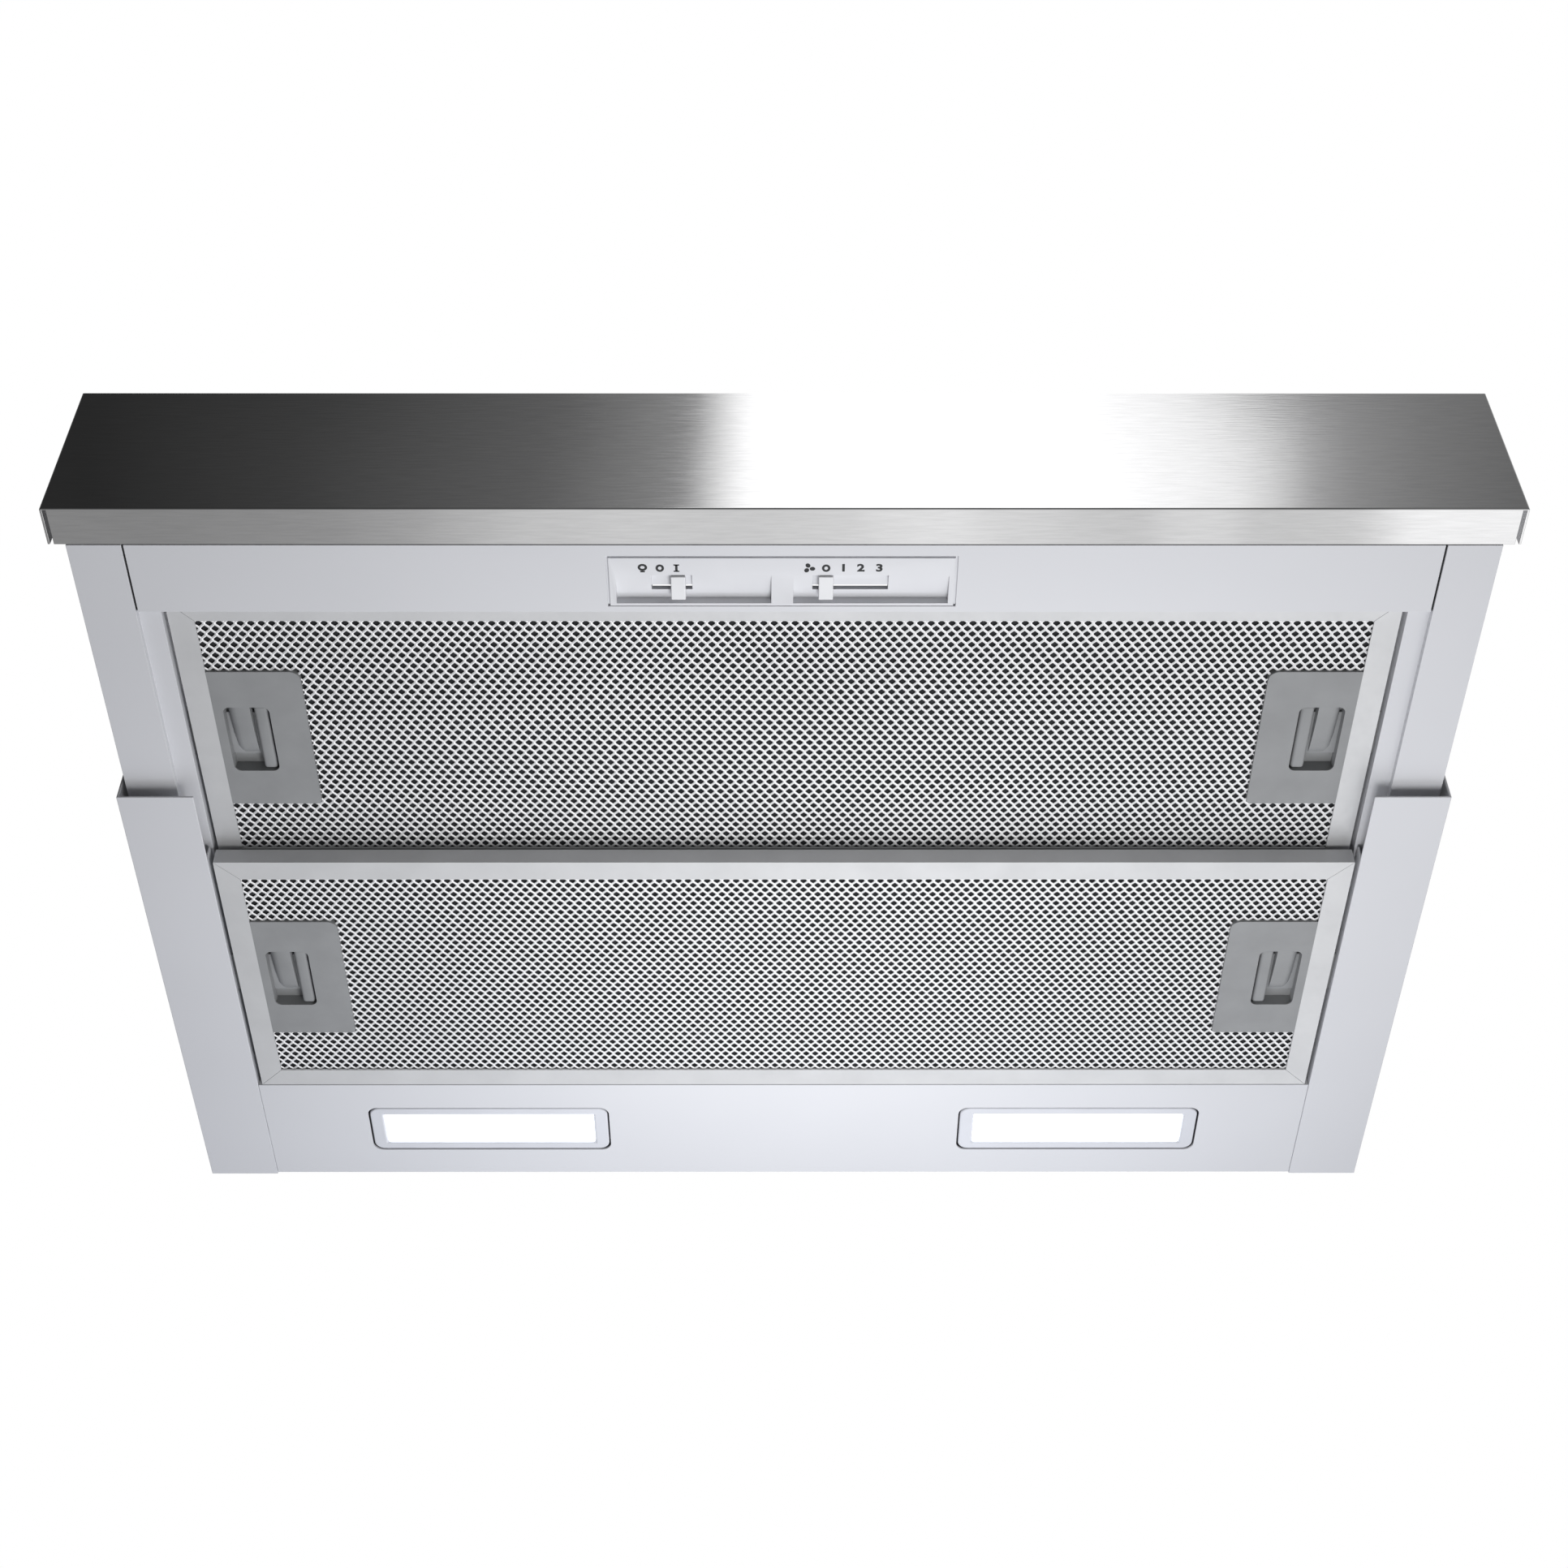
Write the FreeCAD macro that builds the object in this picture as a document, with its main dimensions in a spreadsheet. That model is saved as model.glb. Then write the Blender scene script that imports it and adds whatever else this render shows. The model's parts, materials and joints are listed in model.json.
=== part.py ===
import FreeCAD, Part
import os
import re
import Sketcher
from FreeCAD import Placement, Rotation, Vector

# Slide-out range hood, 60 cm class, drawer pulled out.
# +Z is up, -Y is the user's side, and the origin is under the middle of the open hood,
# level with the underside of its tray. Millimetres.

SIZES = {
    # sheet metal and clearances
    "sheet": 1.0,
    "seam": 0.4,
    # fascia, the steel front of the drawer
    "front": -209.0,
    "fascia_half": 299.0,
    "fascia_low": 7.0,
    "fascia_tall": 83.0,
    "fascia_end": 2.5,
    "return_deep": 18.0,
    # drawer
    "travel": 132.5,
    "panel_deep": 35.0,
    "panel_tall": 76.0,
    "drawer_half": 292.0,
    "drawer_top": 66.0,
    "wall_x": 280.0,
    "seam_x": 268.7,
    "panel_gap": 0.9,
    "ledge_x": 260.3,
    "ledge_low": 10.2,
    "pocket_tall": 12.0,
    "tab_in": 90.0,
    "tab_out": 240.0,
    "tab_deep": 8.0,
    "bar_deep": 8.0,
    "bar_tall": 16.0,
    # tray, the fixed lower half of the body
    "body_half": 295.0,
    "body_front": -57.0,
    "body_back": 209.0,
    "tray_tall": 75.0,
    "flange_x": 261.0,
    "lip_tall": 8.4,
    "inlet_half": 225.0,
    "inlet_front": -16.0,
    "inlet_back": 190.0,
    "cabinet_x": 275.0,
    "cabinet_front": -24.0,
    "cabinet_back": 176.0,
    "cabinet_hole": 2.75,
    # motor box on top of the tray
    "box_half": 240.0,
    "box_front": -31.0,
    "box_top": 180.0,
    "foot_wide": 12.0,
    "foot_inset": 6.0,
    "foot_step": 78.0,
    # grease filters: both are the same size
    "filter_deep": 154.6,
    "filter_tall": 8.4,
    "filter_rail": 10.8,
    "front_filter": -158.4,
    "front_filter_low": 11.4,
    "front_filter_half": 258.4,
    "rear_filter": -16.6,
    "rear_filter_low": 0.0,
    "rear_filter_half": 258.8,
    "core_low": 2.0,
    "core_high": 7.4,
    # filter latches, from the filter's own side and middle
    "latch_in": 51.0,
    "latch_long": 77.0,
    "latch_tall": 7.3,
    "window_in": 42.0,
    "window_out": 15.0,
    "window_long": 37.0,
    "window_deep": 6.2,
    "opening_in": 35.0,
    "latch_face": 0.8,
    "grip_in": 34.0,
    "grip_out": 28.0,
    "tongue_low": 4.5,
    "tongue_high": 6.0,
    "tongue_long": 24.0,
    "tongue_out": 6.0,
    "play": 0.3,
    # lamps
    "lamp_panel": 138.6,
    "lamp_lip": 18.0,
    "lamp_x": 148.5,
    "lamp_y": 172.8,
    "bezel_long": 119.5,
    "bezel_wide": 31.5,
    "bezel_tall": 2.4,
    "lens_long": 106.0,
    "lens_wide": 22.5,
    "lens_tall": 1.8,
    "lens_corner": 1.5,
    "lamp_tub": 16.0,
    "tub_wall": 2.0,
    "lamp_corner": 5.0,
    "lamp_gap": 0.8,
    # controls in the drawer's front panel
    "insert_left": -72.3,
    "insert_right": 69.8,
    "insert_front": -184.0,
    "insert_back": -159.3,
    "insert_tall": 5.0,
    "insert_gap": 1.0,
    "insert_flange": 3.0,
    "slot_front": -175.2,
    "slot_back": -160.6,
    "slot_deep": 4.0,
    "light_slot_left": -69.6,
    "light_slot_right": -5.6,
    "fan_slot_left": 3.5,
    "fan_slot_right": 67.5,
    "track_front": -168.4,
    "track_back": -166.0,
    "pane_deep": 2.6,
    "light_track_left": -55.0,
    "light_track_right": -38.2,
    "fan_track_left": 11.4,
    "fan_track_right": 42.6,
    "light_knob_x": -43.9,
    "fan_knob_x": 16.9,
    "knob_wide": 6.0,
    "knob_tall": 3.2,
    "knob_back": -163.0,
    "stem_wide": 3.0,
    "stem_tall": 5.0,
    "switch_front": -182.0,
    "switch_back": -164.6,
    "switch_tall": 16.0,
    "groove_deep": 3.0,
    # ball slides between the drawer and the tray
    "rail_low": 24.0,
    "rail_high": 59.0,
    "rail_sheet": 1.2,
    "outer_rail_in": 284.0,
    "outer_rail_front": -52.0,
    "outer_rail_back": 200.0,
    "inner_rail_out": 290.0,
    "inner_rail_front": -150.0,
    "inner_rail_back": 70.0,
    "inner_rail_gap": 6.0,
    "cage_front": -44.0,
    "cage_long": 68.0,
    "cage_sheet": 0.8,
    "cage_x": 291.0,
    "cage_in": 284.6,
    "ball": 2.3,
    "ball_hole": 2.36,
    "ball_x": 287.2,
    "ball_low": 27.6,
    "ball_high": 55.4,
    "ball_count": 5,
    # blower, with its shaft along X
    "fan_y": 95.0,
    "fan_z": 108.0,
    "scroll": 70.0,
    "scroll_half": 62.0,
    "scroll_wall": 2.0,
    "outlet_back": 94.0,
    "intake": 44.0,
    "wheel": 58.0,
    "wheel_in": 48.0,
    "wheel_half": 55.0,
    "wheel_ring": 2.0,
    "wheel_disc": 1.2,
    "wheel_hub": 10.0,
    "hub_half": 9.0,
    "blade_thick": 1.2,
    "blade_inset": 0.5,
    "blade_count": 32,
    "shaft": 4.0,
    "shaft_bore": 4.05,
    "shaft_left": -15.0,
    "shaft_right": 44.0,
    "nut": 7.0,
    "motor": 33.0,
    "motor_left": 13.0,
    "motor_boss": 8.0,
    "boss_out": 3.0,
    "bush": 5.0,
    "bush_tall": 4.0,
    "bush_ring": 54.0,
    "bracket_thick": 2.0,
    "bracket_hub": 28.0,
    "bracket_arm": 12.0,
    # duct spigot with two back-draft flaps
    "spigot_y": 59.0,
    "spigot": 59.5,
    "spigot_wall": 2.2,
    "spigot_tall": 34.0,
    "spigot_flange": 68.0,
    "flange_thick": 2.0,
    "pin_z": 188.0,
    "pin": 1.5,
    "pin_bore": 1.55,
    "knuckle": 3.2,
    "knuckle_long": 18.0,
    "knuckle_step": 24.0,
    "flap": 55.4,
    "flap_thick": 1.2,
    "flap_in": 3.8,
    # electrics under the motor box lid
    "capacitor": 15.0,
    "capacitor_x": -150.0,
    "capacitor_front": 10.0,
    "capacitor_long": 62.0,
    "clip_wide": 12.0,
    "clip_thick": 1.5,
    "wiring_left": 130.0,
    "wiring_right": 225.0,
    "wiring_front": 90.0,
    "wiring_back": 190.0,
    "wiring_low": 142.0,
    "wiring_wall": 2.0,
    "driver_left": -228.0,
    "driver_right": -148.0,
    "driver_front": 110.0,
    "driver_back": 152.0,
    "driver_tall": 22.0,
    "gland_x": 178.0,
    "gland_y": 140.0,
    "gland": 10.0,
    "gland_bore": 4.0,
    "gland_tall": 14.0,
    "gland_nut": 13.0,
    # screws and bumpers
    "screw": 1.9,
    "screw_hole": 1.95,
    "screw_head": 3.8,
    "head_tall": 2.2,
    "screw_long": 5.5,
    "fascia_screw_x": 120.0,
    "fascia_screw_z": 56.0,
    "bumper": 6.0,
    "bumper_tall": 3.0,
    "bumper_z": 42.0,
}

AXIS_TURN = {
    "x": Rotation(Vector(0, 1, 0), 90),
    "y": Rotation(Vector(1, 0, 0), -90),
    "z": Rotation(),
}
SIDES = (("left", -1), ("right", 1))

# when the drawer is shut, its sides stop just short of the bumpers on the rear wall
DRAWER_BACK = "body_back - sheet - bumper_tall - play - travel"

doc = FreeCAD.newDocument("SlideOutHood")
sheet = doc.addObject("Spreadsheet::Sheet", "Dims")
for row, (alias, number) in enumerate(SIZES.items(), start=1):
    sheet.set(f"A{row}", alias)
    sheet.set(f"B{row}", str(number))
    sheet.setAlias(f"B{row}", alias)
doc.recompute()

nodes = []


def sized(text):
    """Write each alias of an expression as a reference to its cell."""
    return re.sub(r"\b[a-z_]{2,}\b(?!\()", lambda word: "Dims." + word.group(), str(text))


def bind(thing, prop, text):
    thing.setExpression(prop, sized(text))


def worth(text):
    return float(sheet.evalExpression(sized(text)))


def node(piece, label):
    """Mark an object as a finished sub-part of this name."""
    piece.Label = label
    nodes.append(piece)
    return piece


def span(sign, near, far):
    """The X range of something between two distances from the middle, on one side."""
    if sign > 0:
        return near, far
    return f"-({far})", f"-({near})"


def block(name, across, along, up):
    box = doc.addObject("Part::Box", name)
    for prop, axis, (low, high) in zip(("Length", "Width", "Height"), "xyz", (across, along, up)):
        bind(box, prop, f"({high}) - ({low})")
        bind(box, "Placement.Base." + axis, low)
    return box


def rod(name, radius, start, length, axis):
    """A cylinder from its start point, along a row axis."""
    cylinder = doc.addObject("Part::Cylinder", name)
    cylinder.Placement = Placement(Vector(), AXIS_TURN[axis])
    bind(cylinder, "Radius", radius)
    bind(cylinder, "Height", length)
    for letter, place in zip("xyz", start):
        bind(cylinder, "Placement.Base." + letter, place)
    return cylinder


def join(name, pieces):
    fused = doc.addObject("Part::MultiFuse", name)
    fused.Shapes = pieces
    fused.Refine = True
    return fused


def cut(name, base, tools):
    tool = tools[0] if len(tools) == 1 else join(name + "_cutters", tools)
    less = doc.addObject("Part::Cut", name)
    less.Base = base
    less.Tool = tool
    return less


def group(name, pieces):
    several = doc.addObject("Part::Compound", name)
    several.Links = pieces
    return several


def rounded(name, middle, long, wide, up, corner):
    """An upright plate with round corners, about a middle point in X and Y."""
    x, y = middle
    ends = (f"{x} - {long} / 2", f"{x} + {long} / 2")
    edges = (f"{y} - {wide} / 2", f"{y} + {wide} / 2")
    pieces = [
        block(name + "_long", ends, (f"{edges[0]} + {corner}", f"{edges[1]} - {corner}"), up),
        block(name + "_wide", (f"{ends[0]} + {corner}", f"{ends[1]} - {corner}"), edges, up),
    ]
    for end, inward in zip(ends, "+-"):
        for edge, upward in zip(edges, "+-"):
            place = (f"{end} {inward} {corner}", f"{edge} {upward} {corner}", up[0])
            height = f"({up[1]}) - ({up[0]})"
            pieces.append(rod(f"{name}_corner{len(pieces)}", corner, place, height, "z"))
    return join(name, pieces)


def outline(body, name, plane, corners, offset="0"):
    """A closed sketch of straight lines on one of the body's own planes."""
    sketch = body.newObject("Sketcher::SketchObject", name)
    base = [part for part in body.Origin.OriginFeatures if part.Role == plane][0]
    sketch.AttachmentSupport = [(base, "")]
    sketch.MapMode = "FlatFace"
    bind(sketch, "AttachmentOffset.Base.z", offset)
    points = [Vector(worth(x), worth(y), 0) for x, y in corners]
    for here, there in zip(points, points[1:] + points[:1]):
        sketch.addGeometry(Part.LineSegment(here, there), False)
    for edge in range(len(points)):
        sketch.addConstraint(Sketcher.Constraint("Coincident", edge, 2, (edge + 1) % len(points), 1))
    for edge, (point, corner) in enumerate(zip(points, corners)):
        for kind, number, text in (("DistanceX", point.x, corner[0]), ("DistanceY", point.y, corner[1])):
            rule = sketch.addConstraint(Sketcher.Constraint(kind, -1, 1, edge, 1, number))
            bind(sketch, f"Constraints[{rule}]", text)
    return sketch


def rings(body, name, plane, radii, offset="0"):
    """A sketch of circles about the body's origin."""
    sketch = body.newObject("Sketcher::SketchObject", name)
    base = [part for part in body.Origin.OriginFeatures if part.Role == plane][0]
    sketch.AttachmentSupport = [(base, "")]
    sketch.MapMode = "FlatFace"
    bind(sketch, "AttachmentOffset.Base.z", offset)
    for radius in radii:
        edge = sketch.addGeometry(Part.Circle(Vector(), Vector(0, 0, 1), worth(radius)), False)
        sketch.addConstraint(Sketcher.Constraint("Coincident", edge, 3, -1, 1))
        rule = sketch.addConstraint(Sketcher.Constraint("Radius", edge, worth(radius)))
        bind(sketch, f"Constraints[{rule}]", radius)
    return sketch


def pad(body, name, sketch, length):
    feature = body.newObject("PartDesign::Pad", name)
    feature.Profile = sketch
    bind(feature, "Length", length)
    return feature


def fascia():
    """Steel front: a folded channel with short end returns."""
    low = "fascia_low"
    high = "fascia_low + fascia_tall"
    back = "front + return_deep"
    body = doc.addObject("PartDesign::Body", "FasciaBody")
    section = [
        ("front", low),
        (back, low),
        (back, f"{low} + sheet"),
        ("front + sheet", f"{low} + sheet"),
        ("front + sheet", f"{high} - sheet"),
        (back, f"{high} - sheet"),
        (back, high),
        ("front", high),
    ]
    sketch = outline(body, "FasciaSection", "YZ_Plane", section, "-(fascia_half - fascia_end)")
    pad(body, "FasciaFold", sketch, "2 * (fascia_half - fascia_end)")
    pieces = [body]
    for side, sign in SIDES:
        face = span(sign, "fascia_half - fascia_end", "fascia_half")
        end = span(sign, "fascia_half - sheet", "fascia_half")
        pieces.append(block(f"FasciaFace_{side}", face, ("front", "front + sheet"), (low, high)))
        pieces.append(block(f"FasciaEnd_{side}", end, ("front", back), (low, high)))
    node(join("FasciaShell", pieces), "fascia")


def fascia_stiffener():
    """Channel inside the fascia, which the drawer is screwed to."""
    low = "fascia_low + 2 * sheet"
    high = "fascia_low + fascia_tall - 2 * sheet"
    web = "front + return_deep - sheet"
    body = doc.addObject("PartDesign::Body", "StiffenerBody")
    section = [
        ("front + 2 * sheet", low),
        ("front + return_deep", low),
        ("front + return_deep", high),
        ("front + 2 * sheet", high),
        ("front + 2 * sheet", f"{high} - sheet"),
        (web, f"{high} - sheet"),
        (web, f"{low} + sheet"),
        ("front + 2 * sheet", f"{low} + sheet"),
    ]
    sketch = outline(body, "StiffenerSection", "YZ_Plane", section, "-wall_x")
    pad(body, "StiffenerFold", sketch, "2 * wall_x")
    node(cut("Stiffener", body, screw_holes("StiffenerHole", web)), "fascia_stiffener")


def screw_holes(name, start):
    """Holes for the four fascia screws, through one sheet that starts at a Y."""
    holes = []
    for place in fascia_screw_places():
        holes.append(rod(f"{name}_{len(holes)}", "screw_hole", (place, start, "fascia_screw_z"),
                         "2 * sheet", "y"))
    return holes


def fascia_screw_places():
    return ("-2 * fascia_screw_x", "-fascia_screw_x", "fascia_screw_x", "2 * fascia_screw_x")


def front_panel():
    """Painted underside of the drawer's front, with a window for the controls."""
    start = "front + return_deep + seam"
    stop = "front + return_deep + panel_deep"
    low = "fascia_low"
    body = doc.addObject("PartDesign::Body", "PanelBody")
    section = [
        (start, low),
        (stop, low),
        (stop, "ledge_low + sheet"),
        (f"{stop} - sheet", "ledge_low + sheet"),
        (f"{stop} - sheet", f"{low} + sheet"),
        (f"{start} + sheet", f"{low} + sheet"),
        (f"{start} + sheet", f"{low} + panel_tall"),
        (start, f"{low} + panel_tall"),
    ]
    sketch = outline(body, "PanelSection", "YZ_Plane", section, "-seam_x")
    pad(body, "PanelFold", sketch, "2 * seam_x")
    tabs = []
    for side, sign in SIDES:
        tabs.append(block(f"PanelTab_{side}", span(sign, "tab_in", "tab_out"),
                          (f"{stop} - tab_deep", stop), ("ledge_low", "ledge_low + sheet")))
    window = block("PanelWindow", ("insert_left - insert_gap", "insert_right + insert_gap"),
                   ("insert_front - insert_gap", "insert_back + play"),
                   (f"{low} - sheet", f"{low} + 2 * sheet"))
    holes = screw_holes("PanelHole", f"{start} - sheet / 2")
    node(cut("Panel", join("PanelAndTabs", [body] + tabs), [window] + holes), "drawer_front_panel")


def fascia_screws():
    """Four pan-head screws from inside the drawer."""
    face = "front + return_deep + seam + sheet"
    screws = []
    for place in fascia_screw_places():
        name = f"FasciaScrew{len(screws)}"
        head = rod(name + "_head", "screw_head", (place, face, "fascia_screw_z"), "head_tall", "y")
        stem = rod(name + "_stem", "screw", (place, f"{face} - screw_long", "fascia_screw_z"),
                   "screw_long", "y")
        screws.append(join(name, [head, stem]))
    node(group("FasciaScrews", screws), "fascia_screws")


def drawer_side(side, sign):
    """Folded side of the drawer: bottom strip, upright wall, and the filter's pocket wall."""
    start = "front + return_deep + seam"
    strip = span(sign, "seam_x + panel_gap", "drawer_half")
    riser = span(sign, "seam_x + panel_gap", "seam_x + panel_gap + sheet")
    shelf = span(sign, "ledge_x", "seam_x + panel_gap + sheet")
    pocket_wall = span(sign, "ledge_x", "ledge_x + sheet")
    behind = ("front + return_deep + panel_deep + seam", "front_filter + filter_deep + seam + bar_deep")
    wall = span(sign, "wall_x - sheet", "wall_x")
    foot = span(sign, "seam_x + panel_gap", "wall_x")
    low = "fascia_low"
    name = "Drawer_" + side
    pieces = [
        block(name + "_strip", strip, (start, DRAWER_BACK), (low, f"{low} + sheet")),
        block(name + "_riser", riser, behind, (low, "ledge_low + sheet")),
        block(name + "_shelf", shelf, behind, ("ledge_low", "ledge_low + sheet")),
        block(name + "_pocket", pocket_wall, behind, ("ledge_low", "ledge_low + pocket_tall")),
        block(name + "_wall", wall, (start, DRAWER_BACK), (low, "drawer_top")),
        block(name + "_foot", foot, (start, f"{start} + sheet"), (low, "drawer_top")),
    ]
    slot = latch_slot(name + "_slot", sign, "front", "ledge_x - sheet", "ledge_x + 2 * sheet")
    node(cut(name + "_side", join(name + "_folds", pieces), [slot]), f"drawer_{side}_side")


def latch_middle(place):
    return f"{place}_filter + filter_deep / 2"


def latch_slot(name, sign, place, near, far):
    """Slot that a latch's tongue passes through."""
    middle = latch_middle(place)
    low = f"{place}_filter_low"
    return block(name, span(sign, near, far),
                 (f"{middle} - tongue_long / 2 - play", f"{middle} + tongue_long / 2 + play"),
                 (f"{low} + tongue_low - play", f"{low} + tongue_high + play"))


def drawer_rear_bar():
    """Angle that ties the drawer's two sides together behind the filter."""
    start = "front_filter + filter_deep + seam"
    low = "front_filter_low"
    body = doc.addObject("PartDesign::Body", "RearBarBody")
    section = [
        (start, low),
        (f"{start} + sheet", low),
        (f"{start} + sheet", f"{low} + bar_tall - sheet"),
        (f"{start} + bar_deep", f"{low} + bar_tall - sheet"),
        (f"{start} + bar_deep", f"{low} + bar_tall"),
        (start, f"{low} + bar_tall"),
    ]
    sketch = outline(body, "RearBarSection", "YZ_Plane", section, "-ledge_x")
    pad(body, "RearBarFold", sketch, "2 * ledge_x")
    node(body, "drawer_rear_bar")


def tray_side(side, sign):
    """Side of the tray, folded under to carry the rear filter."""
    name = "Tray_" + side
    length = ("body_front", "body_back")
    pieces = [
        block(name + "_wall", span(sign, "body_half - sheet", "body_half"), length, ("0", "tray_tall")),
        block(name + "_flange", span(sign, "flange_x", "body_half"), length, ("0", "sheet")),
        block(name + "_lip", span(sign, "flange_x", "flange_x + sheet"),
              ("rear_filter - 2 * sheet", "body_back - sheet"), ("0", "lip_tall")),
    ]
    slot = latch_slot(name + "_slot", sign, "rear", "flange_x - sheet", "flange_x + 2 * sheet")
    node(cut(name + "_side", join(name + "_folds", pieces), [slot]), f"tray_{side}_side")


def foot_places():
    """Where the motor box's feet are screwed down, on each side."""
    return [f"box_front + foot_step * {step} + foot_step / 2" for step in range(3)]


def tray_top():
    plate = block("TopPlate", ("-(body_half - sheet)", "body_half - sheet"),
                  ("body_front", "body_back"), ("tray_tall - sheet", "tray_tall"))
    holes = [block("TopInlet", ("-inlet_half", "inlet_half"), ("inlet_front", "inlet_back"),
                   ("tray_tall - 2 * sheet", "tray_tall + sheet"))]
    for x in ("-cabinet_x", "cabinet_x"):
        for y in ("cabinet_front", "cabinet_back"):
            holes.append(rod(f"CabinetHole{len(holes)}", "cabinet_hole",
                             (x, y, "tray_tall - 2 * sheet"), "3 * sheet", "z"))
    for side, sign in SIDES:
        for y in foot_places():
            x = span(sign, "box_half + foot_inset", "box_half")[0 if sign > 0 else 1]
            holes.append(rod(f"TopScrewHole{len(holes)}", "screw_hole",
                             (x, y, "tray_tall - 2 * sheet"), "3 * sheet", "z"))
    node(cut("TopPanel", plate, holes), "tray_top_panel")


def tray_rear():
    node(block("RearWall", ("-(body_half - sheet)", "body_half - sheet"),
               ("body_back - sheet", "body_back"), ("sheet", "tray_tall - sheet")), "tray_rear_wall")


def lamp_panel():
    """Strip behind the rear filter that holds both lamps."""
    back = "body_back - sheet - seam"
    half = "flange_x - seam / 2"
    body = doc.addObject("PartDesign::Body", "LampPanelBody")
    section = [
        ("lamp_panel", "0"),
        (back, "0"),
        (back, "lamp_lip"),
        (f"{back} - sheet", "lamp_lip"),
        (f"{back} - sheet", "sheet"),
        ("lamp_panel + sheet", "sheet"),
        ("lamp_panel + sheet", "lamp_lip"),
        ("lamp_panel", "lamp_lip"),
    ]
    sketch = outline(body, "LampPanelSection", "YZ_Plane", section, f"-({half})")
    pad(body, "LampPanelFold", sketch, f"2 * ({half})")
    holes = []
    for side, x in (("left", "-lamp_x"), ("right", "lamp_x")):
        holes.append(rounded(f"LampHole_{side}", (x, "lamp_y"), "(bezel_long + 2 * lamp_gap)",
                             "(bezel_wide + 2 * lamp_gap)", ("-sheet", "2 * sheet"), "lamp_corner"))
    node(cut("LampPanel", body, holes), "rear_lamp_panel")


def lamp(side, x):
    """Recessed light: a moulded housing, and the diffuser that closes it."""
    name = "Lamp_" + side
    bezel = rounded(name + "_bezel", (x, "lamp_y"), "bezel_long", "bezel_wide",
                    ("0", "bezel_tall"), "lamp_corner")
    tub = block(name + "_tub",
                (f"{x} - lens_long / 2 - tub_wall", f"{x} + lens_long / 2 + tub_wall"),
                ("lamp_y - lens_wide / 2 - tub_wall", "lamp_y + lens_wide / 2 + tub_wall"),
                ("sheet", "lamp_tub"))
    hollow = block(name + "_hollow", (f"{x} - lens_long / 2", f"{x} + lens_long / 2"),
                   ("lamp_y - lens_wide / 2", "lamp_y + lens_wide / 2"), ("-sheet", "lamp_tub - tub_wall"))
    node(cut(name + "_housing", join(name + "_shell", [bezel, tub]), [hollow]), f"lamp_{side}_housing")
    lens = rounded(name + "_lens", (x, "lamp_y"), "(lens_long - 2 * play)", "(lens_wide - 2 * play)",
                   ("play", "play + lens_tall"), "lens_corner")
    node(lens, f"lamp_{side}_lens")


def motor_box():
    """Box that stands inside the cabinet, with feet along both sides."""
    outer = block("BoxOuter", ("-box_half", "box_half"), ("box_front", "body_back"),
                  ("tray_tall", "box_top"))
    inner = block("BoxInner", ("-(box_half - sheet)", "box_half - sheet"),
                  ("box_front + sheet", "body_back - sheet"), ("tray_tall - sheet", "box_top + sheet"))
    walls = cut("BoxWalls", outer, [inner])
    feet = []
    holes = []
    for side, sign in SIDES:
        feet.append(block(f"BoxFoot_{side}", span(sign, "box_half - sheet", "box_half + foot_wide"),
                          ("box_front", "body_back"), ("tray_tall", "tray_tall + sheet")))
        x = "box_half + foot_inset" if sign > 0 else "-(box_half + foot_inset)"
        for y in foot_places():
            holes.append(rod(f"FootHole{len(holes)}", "screw_hole",
                             (x, y, "tray_tall - sheet"), "3 * sheet", "z"))
    node(cut("MotorBox", join("BoxAndFeet", [walls] + feet), holes), "motor_box")


def motor_box_lid():
    plate = block("LidPlate", ("-box_half", "box_half"), ("box_front", "body_back"),
                  ("box_top", "box_top + sheet"))
    holes = [
        rod("LidDuctHole", "spigot - spigot_wall", ("0", "spigot_y", "box_top - sheet"), "3 * sheet", "z"),
        rod("LidGlandHole", "gland", ("gland_x", "gland_y", "box_top - sheet"), "3 * sheet", "z"),
    ]
    node(cut("Lid", plate, holes), "motor_box_lid")


def case_screws():
    """Six pan-head screws that hold the motor box on the tray."""
    screws = []
    for x in ("-(box_half + foot_inset)", "box_half + foot_inset"):
        for y in foot_places():
            name = f"CaseScrew{len(screws)}"
            head = rod(name + "_head", "screw_head", (x, y, "tray_tall + sheet"), "head_tall", "z")
            stem = rod(name + "_stem", "screw", (x, y, "tray_tall + sheet - screw_long"),
                       "screw_long", "z")
            screws.append(join(name, [head, stem]))
    node(group("CaseScrews", screws), "case_screws")


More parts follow.
